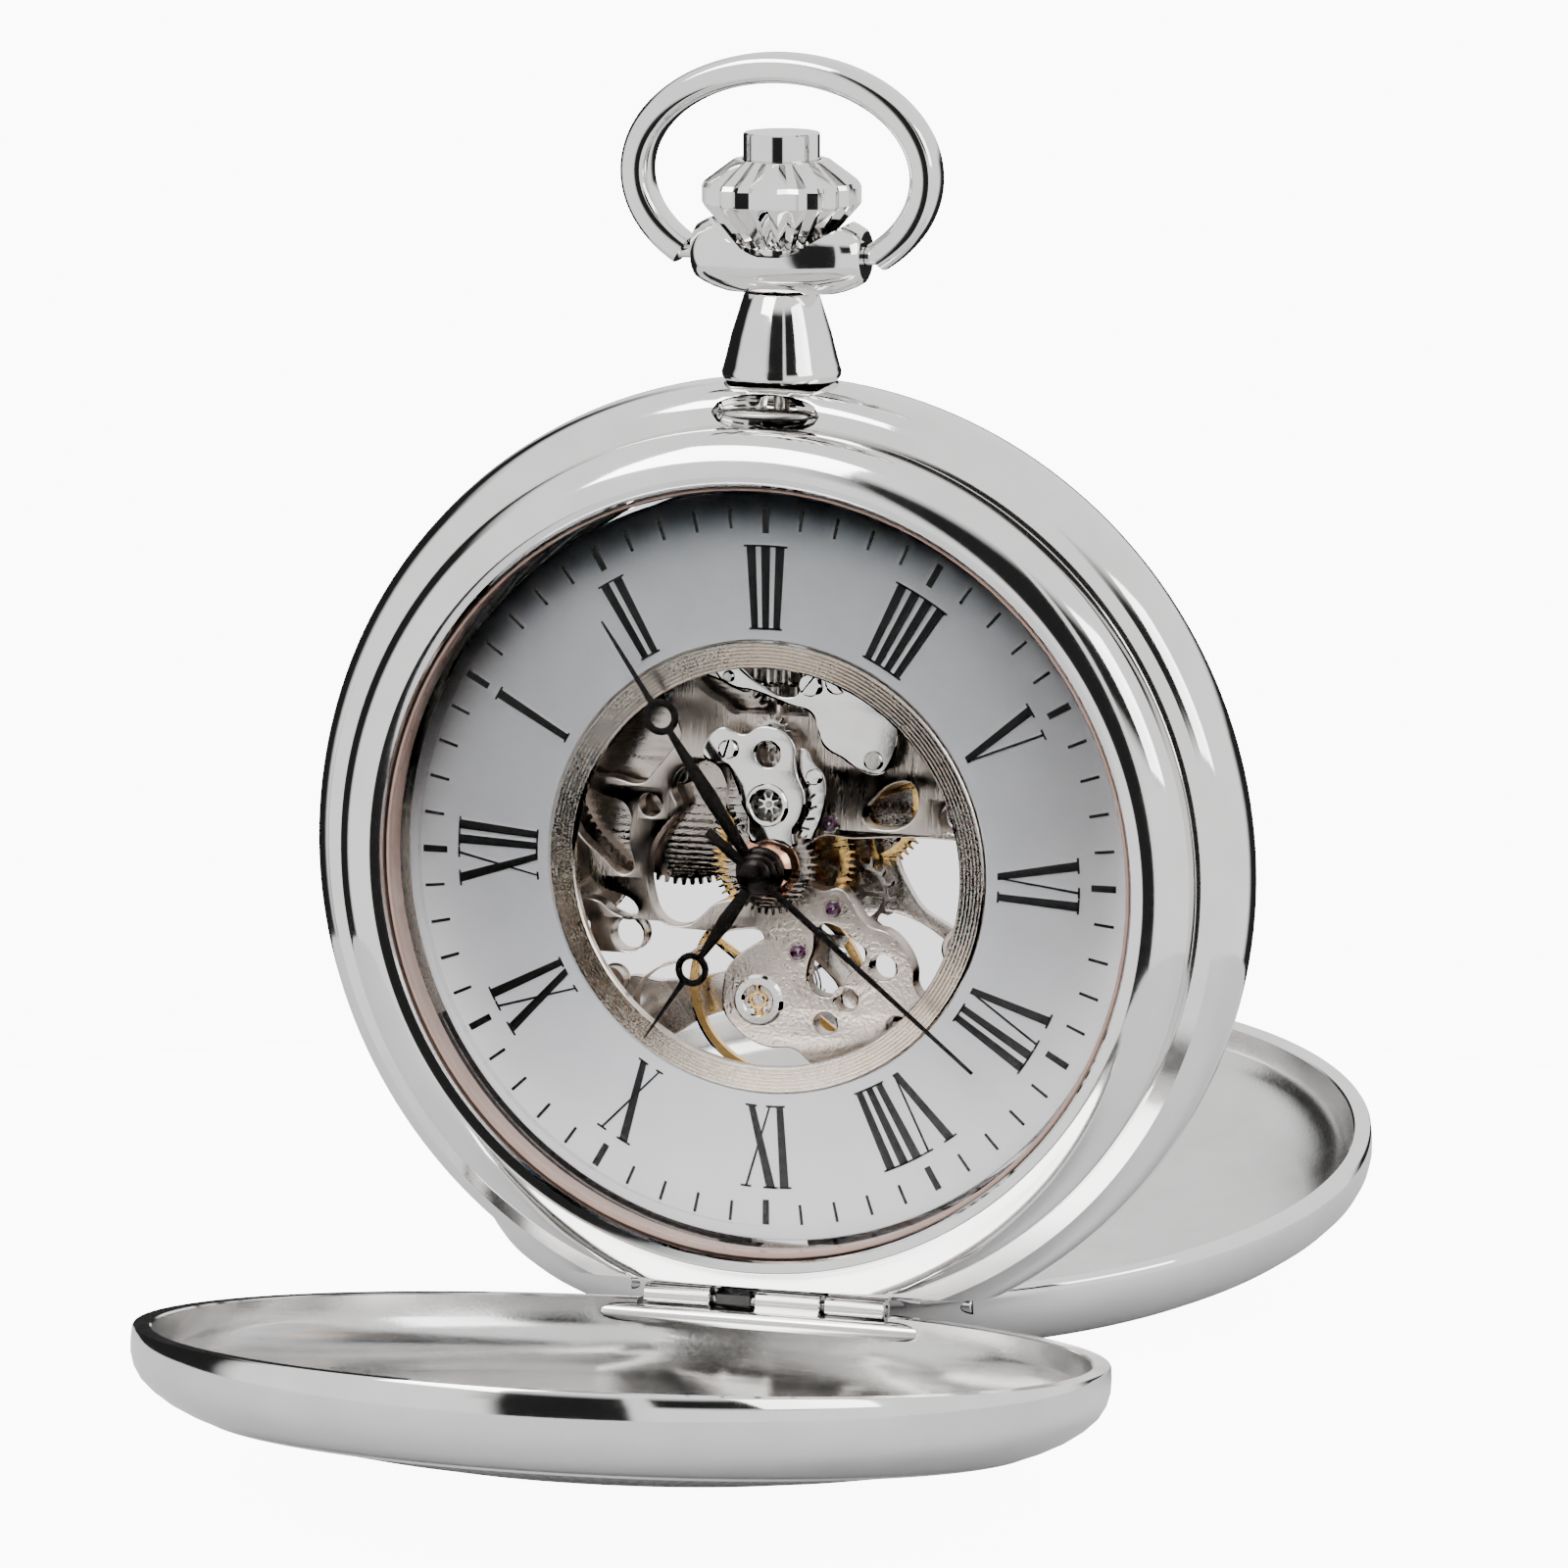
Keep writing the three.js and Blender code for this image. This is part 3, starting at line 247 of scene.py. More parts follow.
PLATE_FRONT = -1.1
plate_windows = [
    [(-10, 5), (-9.2, 7), (-7.3, 8.3), (-5.1, 6.5), (-5.75, 5.4), (-6.5, 4.5), (-7.2, 3.8), (-8.7, 4),
        (-10.4, 4.4)],
    [(-10.9, 3.6), (-9.4, 3.05), (-8, 2.5), (-7.9, 0.8), (-7.9, -0.95), (-9.6, 0), (-10.9, 1.5)],
    [(-11.6, -0.4), (-10.6, -0.8), (-9.5, -1.75), (-7.5, -2.7), (-7.6, -3.2), (-8.7, -3.1), (-9.6, -2.5),
        (-11.7, -2.1)],
    [(-5, 4.65), (-5.6, 3.56), (-5.3, 2.5), (-6, 1.5), (-6.6, 0.6), (-6.9, -0.66), (-6.75, -2.06),
        (-6.4, -3),
     (-5.75, -3.5), (-4.8, -3.5), (-4.2, -3.15), (-3.25, -2.3), (-1.7, -1.6), (-1.7, 1.6), (-2.6,
         2.6), (-2.7, 4.2),
     (-3.5, 5.1), (-4.2, 4.9)],
    [(-0.6, -3.9), (-2, -3.6), (-3.9, -4.55), (-5.3, -5.5), (-6.5, -6), (-7.5, -7.1), (-7.6, -8.3),
        (-6.8, -9.8),
     (-4.8, -11.2), (-2, -12.2), (0.8, -12.3), (2.4, -11.9), (2.5, -10.8), (1.9, -10.35), (0.97, -9.65),
     (-0.3, -9.65), (-1.4, -9.3), (-2.3, -8.6), (-2.8, -7.85), (-2.86, -6.75), (-2.6, -5.65), (-2, -4.9),
     (-1.06, -4.25)],
    [(2.1, 1.3), (4.4, 1.5), (6.75, 1.7), (10.2, 1.65), (11.8, 1.4), (12.1, -0.5), (11.8, -2.2),
        (10.2, -2.5),
     (9.1, -3.3), (8.95, -4.2), (9.6, -4.95), (11, -5.1), (10.4, -6.4), (9.4, -7.2), (8.2, -6.75), (7.5,
         -6),
     (7.4, -5), (6.75, -3.8), (6, -3.2), (5.2, -3), (4.6, -2.5), (4.1, -1.7), (3.5, -1.1), (2.5, -1.25),
     (1.75, -0.9), (1.8, 0.3)],
    [(2.4, -3.1), (3.3, -3.1), (4.25, -3.8), (4.8, -4.25), (4.7, -4.95), (3.9, -5.65), (3.4, -6.6),
        (2.7, -6.8),
     (1.9, -6.4), (1.8, -5.35), (2.1, -4.4)],
    [(4.75, 2.8), (5.35, 3.7), (6.45, 4.5), (7.4, 4.5), (7.65, 3.9), (7.5, 2.95), (6.75, 2.25),
        (5.65, 2.1), (4.9, 2.3)],
]
screw_holes = [(-8.0, -4.2, 0.85), (-6.75, 2.65, 0.6), (5.8, -5.1, 0.68), (2.7, -8.2, 0.6),
    (3.8, -6.9, 0.62)]
screw_holes += [(-10.7, -3.9, 0.65), (-9.0, -6.75, 0.7), (9.6, 2.85, 0.75), (9.9, -3.8, 0.6),
    (6.6, -8.2, 0.6)]
stem_slot = [(-1.8, 7.7), (1.8, 7.7), (1.8, 13.2), (-1.8, 13.2)]
lever_room = [(-4.7, 10.2), (-4.4, 9.3), (-3.6, 8.5), (-2.8, 8.1), (-2.4, 7.7), (-1.7, 7.75), (-1.7, 11)]
outlines = [round_hole(0, 0, 13.6, 16), *plate_windows, round_hole(0, 0, 1.15)]
outlines += [round_hole(x, z, r) for x, z, r in screw_holes]
plate = cut_plate("visual_main_plate", outlines, PLATE_FRONT, 0, 0.1)


def cut_away(obj, tool):
    """Cuts one solid out of another and throws the tool away."""
    modifier = obj.modifiers.new("cut", "BOOLEAN")
    modifier.operation = "DIFFERENCE"
    modifier.solver = "EXACT"
    modifier.object = tool
    pick(obj)
    bpy.ops.object.modifier_apply(modifier="cut")
    bpy.data.objects.remove(tool)
    return finish_edges(obj, 30)


cut_away(plate, cut_plate("stem slot", [stem_slot], -2, 1, 0.1, True))
cut_away(plate, cut_plate("lever room", [lever_room], -2, 1, 0.05))
paint(plate, plate_finish())
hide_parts("main_plate")
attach(plate, "case")

# ---- Mainspring barrel ----
# A shallow brass drum with teeth round its rim, nickel plated, holding the blued mainspring, whose coils
# show through the plate. Its arbor passes through and carries the ratchet wheel at the back.
BARREL = (-5.54, 4.2)


def teeth_outline(x, z, root, tip, teeth, start=0.0):
    """The edge of a toothed wheel: each tooth is narrower at its tip."""
    edge = []
    for i in range(teeth):
        for share, r in ((0.0, root), (0.28, root), (0.42, tip), (0.64, tip), (0.78, root)):
            a = start + 2 * math.pi * (i + share) / teeth
            edge.append((x + r * math.cos(a), z + r * math.sin(a)))
    return edge


def spoke_windows(x, z, hub, rim, spokes, half_width, start=0.0, arc=7):
    """The openings between a wheel's spokes."""
    windows = []
    for i in range(spokes):
        middle = start + 2 * math.pi * (i + 0.5) / spokes
        half = math.pi / spokes
        window = []
        for r, order in ((rim, 1), (hub, -1)):
            reach = half - half_width / r
            angles = [middle + reach * (2 * k / (arc - 1) - 1) * order for k in range(arc)]
            window += [(x + r * math.cos(a), z + r * math.sin(a)) for a in angles]
        windows.append(window)
    return windows


def turned(name, outline, steps=64, about=(0, 0, 0), axis="Y", angle=35):
    """A closed outline of (radius, distance along the axis) spun round that axis, at a place."""
    along = {"X": Vector((1, 0, 0)), "Y": Vector((0, 1, 0)), "Z": Vector((0, 0, 1))}[axis]
    out = Vector((1, 0, 0)) if axis != "X" else Vector((0, 0, 1))
    if outline[0][0] > 0 or outline[-1][0] > 0:
        outline = [*outline, outline[0]]
    middle = spot(*about)
    spots = [middle + out * r * MM + along * d * MM for r, d in outline]
    bpy.ops.object.select_all(action="DESELECT")
    bpy.ops.mesh.primitive_plane_add(size=0.1 * MM, location=spots[0])
    obj = bpy.context.object
    obj.name = obj.data.name = name
    bpy.ops.object.transform_apply(location=True, rotation=True, scale=True)
    bpy.ops.object.mode_set(mode="EDIT")
    bpy.ops.mesh.merge(type="CENTER")
    for here, there in zip(spots, spots[1:]):
        bpy.ops.mesh.extrude_vertices_move(TRANSFORM_OT_translate={"value": there - here})
    bpy.ops.mesh.select_all(action="SELECT")
    bpy.ops.mesh.spin(steps=steps, angle=2 * math.pi, center=middle, axis=along)
    bpy.ops.mesh.select_all(action="SELECT")
    bpy.ops.mesh.remove_doubles(threshold=0.001 * MM)
    bpy.ops.mesh.normals_make_consistent(inside=False)
    bpy.ops.object.mode_set(mode="OBJECT")
    return finish_edges(obj, angle)


def as_one(name, *parts):
    """Joins parts into one piece."""
    bpy.ops.object.select_all(action="DESELECT")
    for part in parts:
        part.select_set(True)
    bpy.context.view_layer.objects.active = parts[0]
    if len(parts) > 1:
        bpy.ops.object.join()
    parts[0].name = parts[0].data.name = name
    return parts[0]


GILT = grained("gilt brass", (0.74, 0.44, 0.13), (0.96, 0.66, 0.28), 0.24, 5000, 0.2, 0.12)
PLATED = grained("plated drum", (0.20, 0.17, 0.15), (0.70, 0.63, 0.57), 0.15, 9000, 0.2, 0.1)
STEEL = grained("grained steel", (0.30, 0.28, 0.26), (0.70, 0.67, 0.64), 0.2, 14000, 0.25, 0.12, 1.0)
BLUED = grained("blued spring", (0.10, 0.11, 0.14), (0.28, 0.28, 0.31), 0.28, 6000, 0.15, 0.1)

drum_sheet = cut_plate("drum teeth", [teeth_outline(*BARREL, 5.62, 5.95, 78), round_hole(*BARREL, 0.7)],
    0.55, 0.85, 0.02, True)
drum_wall = turned("drum wall", [(5.25, 0.85), (5.6, 0.85), (5.6, 1.7), (5.52, 1.76), (5.3, 1.76),
    (5.25, 1.7)], 72, (BARREL[0], 0, BARREL[1]))
drum = paint(as_one("visual_barrel_drum", drum_sheet, drum_wall), PLATED)
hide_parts("barrel_drum")
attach(drum, "barrel")


def flat_spiral(name, about, inner, outer, turns, thick, front, back, points=34):
    """A flat coiled strip, drawn as a line and given its height and thickness."""
    curve = bpy.data.curves.new(name, "CURVE")
    curve.dimensions = "2D"
    spline = curve.splines.new("POLY")
    count = int(turns * points)
    spline.points.add(count)
    for i, point in enumerate(spline.points):
        a = 2 * math.pi * turns * i / count
        r = inner + (outer - inner) * i / count
        point.co = ((about[0] + r * math.cos(a)) * MM, (about[1] + r * math.sin(a)) * MM, 0, 1)
    curve.extrude = (back - front) / 2 * MM
    obj = bpy.data.objects.new(name, curve)
    bpy.context.scene.collection.objects.link(obj)
    obj.location = spot(0, (front + back) / 2, 0)
    obj.rotation_euler = (math.pi / 2, 0, 0)
    pick(obj)
    bpy.ops.object.convert(target="MESH")
    bpy.ops.object.transform_apply(location=True, rotation=True, scale=True)
    modifier = obj.modifiers.new("thickness", "SOLIDIFY")
    modifier.thickness = thick * MM
    modifier.offset = 0
    bpy.ops.object.modifier_apply(modifier="thickness")
    return finish_edges(obj, 40)


mainspring = paint(flat_spiral("visual_mainspring", BARREL, 1.0, 5.05, 8, 0.16, 0.9, 1.66), BLUED)
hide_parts("mainspring")
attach(mainspring, "barrel")

arbor = turned("visual_barrel_arbor", [(0, 0.1), (0.5, 0.1), (0.55, 0.15), (0.55, 1.8), (0.8, 1.8),
    (0.8, 3.05), (0.7, 3.15), (0, 3.15)], 32, (BARREL[0], 0, BARREL[1]))
cut_away(arbor, cut_plate("arbor square", [[(BARREL[0] - 0.32, BARREL[1] - 0.32),
    (BARREL[0] + 0.32, BARREL[1] - 0.32), (BARREL[0] + 0.32, BARREL[1] + 0.32),
    (BARREL[0] - 0.32, BARREL[1] + 0.32)]], 2.8, 3.5, 0.01, True))
paint(arbor, STEEL)
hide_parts("barrel_arbor")
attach(arbor, "ratchet")

# ---- Going train ----
# Gilt wheels with cut teeth and crossed-out spokes, each pressed on a steel arbor with its pinion. They
# carry the mainspring's force from the centre wheel to the escape wheel.
THIRD = (3.313, 2.88)
ESCAPE = (3.57, -1.837)
CENTRE = (0, 0)


def train_wheel(name, about, pitch, teeth, spokes, front, back, parts, body, nodes, material,
    rim=0.55, start=0.3):
    """A wheel with its pinion leaves and arbor. Each of the parts is (radius, front, back, leaves)."""
    hub = max(0.55, pitch * 0.2)
    edge = teeth_outline(*about, pitch - 0.32, pitch - 0.02, teeth)
    openings = spoke_windows(*about, hub, pitch - 0.32 - rim, spokes, 0.2, start) if spokes else []
    sheets = [cut_plate(name + " sheet", [edge, *openings], front, back, 0.02, True)]
    for radius, low, high, leaves in parts:
        if leaves:
            leaf_edge = teeth_outline(*about, radius * 0.62, radius - 0.02, leaves)
            sheets.append(cut_plate(name + " pinion", [leaf_edge], low, high, 0.015, True))
        else:
            soft = min(0.05, radius / 3)
            rod = [(0, low), (radius - soft, low), (radius, low + soft), (radius, high - soft),
                (radius - soft, high), (0, high)]
            sheets.append(turned(name + " arbor", rod, 24, (about[0], 0, about[1])))
    sheets[0].data.materials.append(material)
    for sheet in sheets[1:]:
        sheet.data.materials.append(STEEL)
    wheel = as_one(name, *sheets)
    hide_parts(*nodes)
    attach(wheel, body)
    return wheel


train_wheel("visual_centre_wheel", CENTRE, 3.9, 64, 4, 0.25, 0.4,
    [(0.85, 0.4, 0.95, 10), (0.4, 0.2, 1.0, 0)], "minutes", ["center_wheel"], GILT)
train_wheel("visual_third_wheel", THIRD, 3.87, 60, 4, 2.4, 2.55,
    [(0.41, 0.2, 0.6, 8), (0.12, 0.08, 3.6, 0)], "third", ["third_wheel"], GILT)
train_wheel("visual_fourth_wheel", CENTRE, 3.65, 70, 4, 2.75, 2.9,
    [(0.44, 2.3, 2.85, 8), (0.2, -4.48, 3.6, 0)], "seconds", ["fourth_wheel"], GILT, 0.5,
    0.8)


def escape_edge(x, z, root, tip, teeth):
    """The edge of the escape wheel, whose teeth are hooked and lean one way."""
    edge = []
    for i in range(teeth):
        for share, r in ((0.0, root), (0.45, root), (0.62, tip * 0.93), (0.86, tip), (0.92, tip),
            (0.8, root * 1.06)):
            a = 2 * math.pi * (i + share) / teeth
            edge.append((x + r * math.cos(a), z + r * math.sin(a)))
    return edge


escape_sheet = cut_plate("escape sheet", [escape_edge(*ESCAPE, 1.62, 2.1, 15),
    *spoke_windows(*ESCAPE, 0.45, 1.35, 4, 0.14)], 1.6, 1.75, 0.02, True)
escape_sheet.data.materials.append(STEEL)
escape_arbor = paint(turned("escape arbor", [(0, 0.05), (0.08, 0.05), (0.1, 0.1), (0.1, 3.55),
    (0.08, 3.6), (0, 3.6)], 16, (ESCAPE[0], 0, ESCAPE[1])), STEEL)
escape_pinion = paint(cut_plate("escape pinion", [teeth_outline(*ESCAPE, 0.18, 0.28, 7)], 2.65, 3.0, 0.01,
    True), STEEL)
escape_wheel = as_one("visual_escape_wheel", escape_sheet, escape_arbor, escape_pinion)
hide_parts("escape_wheel")
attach(escape_wheel, "escape")

# ---- Pallet fork and balance ----
# The lever with its two red stones locks the escape wheel and is swung by the gilt balance. The balance
# has a heavy rim with timing screws, two arms and a fine spiral spring, and beats on jewelled pivots.
PALLET = (1.4, -4.1)
BALANCE = (-0.9, -7.2)
towards = math.atan2(BALANCE[1] - PALLET[1], BALANCE[0] - PALLET[0])


def placed(outline, about, turn):
    """An outline drawn along +X, turned and carried to its place."""
    c, s = math.cos(turn), math.sin(turn)
    return [(about[0] + x * c - z * s, about[1] + x * s + z * c) for x, z in outline]


fork_outline = [(-0.95, 1.45), (-0.3, 1.5), (0.3, 0.5), (0.6, 0.15), (2.6, 0.13), (2.85, 0.22), (2.7, 0)]
fork_outline += [(2.85, -0.22), (2.6, -0.13), (0.6, -0.15), (0.3, -0.5), (-0.3, -1.5), (-0.95, -1.45)]
fork_outline += [(-0.75, -1.05), (-0.35, -0.4), (-0.35, 0.4), (-0.75, 1.05)]
fork = paint(cut_plate("fork", [placed(fork_outline, PALLET, towards)], 1.6, 1.75, 0.02, True), STEEL)
fork_staff = paint(turned("fork staff", [(0, 0.1), (0.1, 0.12), (0.1, 1.8), (0, 1.8)], 16,
    (PALLET[0], 0, PALLET[1])), STEEL)
fork = as_one("visual_pallet_fork", fork, fork_staff)
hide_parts("pallet_fork")
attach(fork, "pallets")

rim_edge = turned("balance rim", [(4.35, 2.02), (4.75, 2.0), (4.8, 2.05), (4.8, 2.45), (4.75, 2.5),
    (4.4, 2.5), (4.35, 2.45)], 96, (BALANCE[0], 0, BALANCE[1]))
arm_outline = [(-4.5, 0.2), (-0.7, 0.28), (0, 0.6), (0.7, 0.28), (4.5, 0.2), (4.5, -0.2), (0.7, -0.28),
    (0, -0.6), (-0.7, -0.28), (-4.5, -0.2)]
arms = cut_plate("balance arms", [placed(arm_outline, BALANCE, -0.61)], 2.1, 2.35, 0.04, True)
staff = turned("balance staff", [(0, 0.3), (0.1, 0.32), (0.12, 1.35), (0.5, 1.35), (0.5, 1.5),
    (0.12, 1.5), (0.12, 1.9), (0.4, 1.92), (0.4, 2.6), (0.12, 2.6), (0.12, 3.5), (0.05, 3.6), (0, 3.6)],
    24, (BALANCE[0], 0, BALANCE[1]))
for piece, metal in ((rim_edge, GILT), (arms, GILT), (staff, STEEL)):
    paint(piece, metal)
balance = as_one("visual_balance_wheel", rim_edge, arms, staff)
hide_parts("balance_wheel")
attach(balance, "balance")

hairspring = paint(flat_spiral("visual_hairspring", BALANCE, 0.55, 2.3, 9, 0.05, 2.74, 2.9), BLUED)
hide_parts("hairspring")
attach(hairspring, "case")

# ---- Jewels ----
# Synthetic ruby bearings, polished and pressed into the plate and bridges, each with a small oil sink and
# the tip of its steel pivot showing in the middle.
RUBY, nodes, links, shader = new_material("ruby", (0.28, 0.02, 0.20), 0.0, 0.06)
shader.inputs["Coat Weight"].default_value = 0.4
depth_noise = nodes.new("ShaderNodeTexNoise")
depth_noise.inputs["Scale"].default_value = 900
depth_place = nodes.new("ShaderNodeTexCoord")
links.new(depth_place.outputs["Object"], depth_noise.inputs["Vector"])
depth_tint = two_tones(nodes, links, depth_noise.outputs["Fac"], (0.03, 0.002, 0.022),
    (0.12, 0.008, 0.085))
links.new(depth_tint, shader.inputs["Base Color"])


def jewel(name, x, z, y, facing, r=0.42):
    """A jewel set flush in a plate whose face is at y; facing is -1 to the front and 1 to the back."""
    stone_edge = [(0, 0.03), (r * 0.22, 0.03), (r * 0.5, 0.09), (r * 0.85, 0.08), (r, 0.03), (r, -0.17),
        (0, -0.17)]
    stone = [(across, y + up * facing) for across, up in stone_edge]
    setting = [(r, y + 0.04 * facing), (r * 1.35, y + 0.04 * facing), (r * 1.35, y - 0.2 * facing),
        (r, y - 0.2 * facing)]
    gem = paint(turned(name + " stone", stone, 24, (x, 0, z)), RUBY)
    cup = paint(turned(name + " setting", setting, 24, (x, 0, z)), FROSTED if facing < 0 else GILT)
    pivot_edge = [(0, 0.07), (r * 0.12, 0.07), (r * 0.18, 0.05), (r * 0.18, -0.1), (0, -0.1)]
    pivot = [(across, y + up * facing) for across, up in pivot_edge]
    pivot = paint(turned(name + " pivot", pivot, 12, (x, 0, z)), STEEL)
    made = as_one(name, gem, cup, pivot)
    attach(made, "case")
    return made


for number, (x, z) in enumerate([(2.92, 2.23), (3.14, -2.19), (1.25, -4.55)]):
    jewel(f"front_jewel_{number + 1}", x, z, PLATE_FRONT, -1)

# ---- Screws ----
# Slotted steel screws with polished, slightly domed heads. Each is turned, slotted and mirror polished.
POLISHED_STEEL = grained("polished steel work", (0.62, 0.60, 0.58), (0.86, 0.85, 0.84), 0.1, 5000, 0.05,
    0.06)


def screw(name, x, z, y, facing, r=0.6, turn=0.6, body="case"):
    """A slotted screw whose seat is at y."""
    top = y + 0.28 * facing
    head = [(0, y - 0.1 * facing), (r, y - 0.1 * facing), (r, top - 0.08 * facing), (r - 0.08, top),
        (0, top + 0.02 * facing)]
    made = turned(name, head, 28, (x, 0, z))
    slot = [(-r * 1.2, -0.09), (r * 1.2, -0.09), (r * 1.2, 0.09), (-r * 1.2, 0.09)]
    low, high = sorted((top - 0.14 * facing, top + 0.3 * facing))
    cut_away(made, cut_plate("slot", [placed(slot, (x, z), turn)], low, high, 0.005, True))
    paint(made, POLISHED_STEEL)
    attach(made, body)
    return made


screw("front_screw_1", -2.05, 6.05, -2.4, -1, 0.5, 1.25)
screw("front_screw_2", 2.25, 9.55, -2.1, -1, 0.6, 0.9)
screw("front_screw_3", 3.7, 9.75, -2.1, -1, 0.62, 2.3)
screw("front_screw_4", 2.35, 4.75, -1.78, -1, 0.42, 0.4)

# ---- Keyless work, dial side ----
# Polished steel plates and levers that let the crown wind the spring or set the hands: the peanut-shaped
# cover plate with two windows, the broad spring plate at the right, and the levers by the stem.
cover_edge = [(-3.4, 5.6), (-3.2, 6.5), (-2.4, 7.15), (-1.8, 6.95), (-1.2, 6.85), (-0.5, 7.25),
    (0.2, 7.3), (1, 7)]
cover_edge += [(1.5, 6.3), (1.5, 5.5), (1.63, 4.8), (2, 3.9), (1.9, 2.9), (1.4, 1.9), (1.35, 1.1),
    (0.9, 1.2), (0, 1.4)]
cover_edge += [(-0.8, 1.25), (-1, 1.6), (-1.07, 2.6), (-1.37, 3.3), (-1.5, 3.8), (-1.7, 4.3), (-2.2, 5.2),
    (-2.8, 5.3)]
cover_openings = [round_hole(0.03, 5.85, 0.66), round_hole(0, 3.25, 0.86)]
keyless_cover = cut_plate("visual_setting_cover_plate", [cover_edge, *cover_openings], -2.4, -2.15, 0.08)
lobe = turned("lobe", [(0.84, -2.36), (0.84, -2.5), (0.9, -2.56), (1.04, -2.56), (1.12, -2.48),
    (1.12, -2.36)], 48, (0, 0, 3.25))
paint(keyless_cover, POLISHED_STEEL)
paint(lobe, POLISHED_STEEL)
keyless_cover = as_one("visual_setting_cover_plate", keyless_cover, lobe)
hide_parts("setting_cover_plate")
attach(keyless_cover, "case")

spring_edge = [(2.2, 10.9), (3.6, 10.9), (5.6, 9.8), (7.2, 8.5), (6.95, 7.4), (6.55, 5.8), (5.95, 5.1),
    (4.85, 5.25)]
spring_edge += [(3.95, 5.8), (2.95, 6.4), (2.65, 7.1), (2.25, 8.05), (1.15, 8.4), (-0.85, 9.05),
    (-1.85, 9.2), (-2.7, 9.7)]
spring_edge += [(-2.9, 10.5), (-2.1, 10.7), (-1.65, 10.3), (-0.45, 9.4), (1.2, 8.85), (1.75, 9.4),
    (1.8, 10.3)]
spring_plate = paint(cut_plate("visual_setting_lever_spring", [spring_edge], -2.1, -1.8, 0.08),
    POLISHED_STEEL)
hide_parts("setting_lever_spring")
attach(spring_plate, "case")
for name, x, z, r in (("spring_stud", 5.6, 5.8, 0.5), ("spring_rivet", -2.15, 9.75, 0.3)):
    stud = turned(name, [(0, -2.05), (r, -2.05), (r, -2.2), (r - 0.07, -2.27), (0, -2.28)], 28, (x, 0, z))
    paint(stud, STEEL)
    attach(stud, "case")

# The toothed detent beside the cover plate, pierced with a ladder of short slots.
detent_edge = [(1.25, 5.9), (1.8, 6.15), (2.25, 5.5), (2.85, 4.75), (2.9, 3.4), (2.5, 2.1), (1.95, 1.35),
    (1.3, 1.5), (1.45, 2.7), (1.25, 4.1)]
detent_slots = []
for i in range(7):
    a = math.radians(-38 + 17 * i)
    slot_outline = [(-0.26, -0.07), (0.26, -0.07), (0.26, 0.07), (-0.26, 0.07)]
    detent_slots.append(placed(slot_outline, (0.3 + 1.95 * math.cos(a), 3.25 + 1.95 * math.sin(a)),
        a + 0.5))
detent = cut_plate("detent_spring", [detent_edge], -1.79, -1.61, 0.04)
cut_away(detent, cut_plate("slots", detent_slots, -2, -1.5, 0.005, True))
paint(detent, POLISHED_STEEL)
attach(detent, "case")

lever = paint(cut_plate("visual_setting_lever", [[(3.2, 11.3), (3.9, 10.6), (3.2, 9.95), (2.2, 10.4),
    (1.1, 10.55), (0.65, 10.9), (1.0, 11.25), (2.0, 11.3)]], -1.75, -1.2, 0.06), STEEL)
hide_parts("setting_lever")
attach(lever, "setting_lever")
yoke = paint(cut_plate("visual_yoke", [[(-3.7, 10.9), (-3.0, 10.9), (-2.0, 10.0), (-1.1, 9.4),
    (-1.15, 8.95), (-1.7, 9.0), (-2.6, 9.4), (-3.9, 10.1)]], -1.75, -1.2, 0.06), STEEL)
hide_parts("yoke")
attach(yoke, "yoke")


def small_wheel(name, about, root, tip, teeth, low, high, body, node, parts=(), metal=STEEL, bore=0.0):
    """A solid toothed wheel, with any plain steps of (radius, low, high) joined to it."""
    openings = [round_hole(*about, bore)] if bore else []
    sheets = [cut_plate(name, [teeth_outline(*about, root, tip, teeth), *openings], low, high, 0.02,
        True)]
    for inner, radius, start, end in parts:
        step = [(inner, start), (radius - 0.03, start), (radius, start + 0.03), (radius, end - 0.03),
            (radius - 0.03, end), (inner, end)]
        sheets.append(turned(name + " step", step, 32, (about[0], 0, about[1])))
    for sheet in sheets:
        sheet.data.materials.append(metal)
    made = as_one(name, *sheets)
    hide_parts(node)
    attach(made, body)
    return made


small_wheel("visual_setting_wheel", (0, 6.79), 0.74, 1.02, 16, -1.6, -1.3, "setting_work",
    "setting_wheel", [(0.2, 0.5, -1.7, -1.25)])
small_wheel("visual_minute_wheel", (0, 3.25), 2.1, 2.36, 36, -1.55, -1.35, "minute_work", "minute_wheel",
    [(0, 0.16, -2.2, -1.3)])
minute_pinion = cut_plate("minute_wheel_pinion", [teeth_outline(0, 3.25, 0.3, 0.6, 8)], -2.1, -1.5, 0.02,
    True)
paint(minute_pinion, POLISHED_STEEL)
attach(minute_pinion, "minute_work")
small_wheel("visual_cannon_pinion", CENTRE, 0.5, 0.73, 12, -1.6, -1.25, "minutes", "cannon_pinion",
    [(0.3, 0.5, -4.1, -0.1)], POLISHED_STEEL, 0.3)
COPPER = grained("copper tinted brass", (0.60, 0.30, 0.18), (0.86, 0.52, 0.36), 0.2, 6000, 0.15, 0.1)
small_wheel("visual_hour_wheel", CENTRE, 2.2, 2.52, 40, -2.03, -1.83, "hours", "hour_wheel",
    [(0.6, 0.84, -3.62, -1.8)], PLATED, 0.6)
flange = turned("hour_wheel_flange", [(0.85, -2.02), (0.85, -2.3), (0.95, -2.34), (1.2, -2.12),
    (1.6, -2.1), (1.66, -2.02)], 64)
paint(flange, COPPER)
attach(flange, "hours")
small_wheel("visual_ratchet_wheel", BARREL, 3.6, 3.9, 48, 1.95, 2.15, "ratchet", "ratchet_wheel", (),
    POLISHED_STEEL, 0.82)
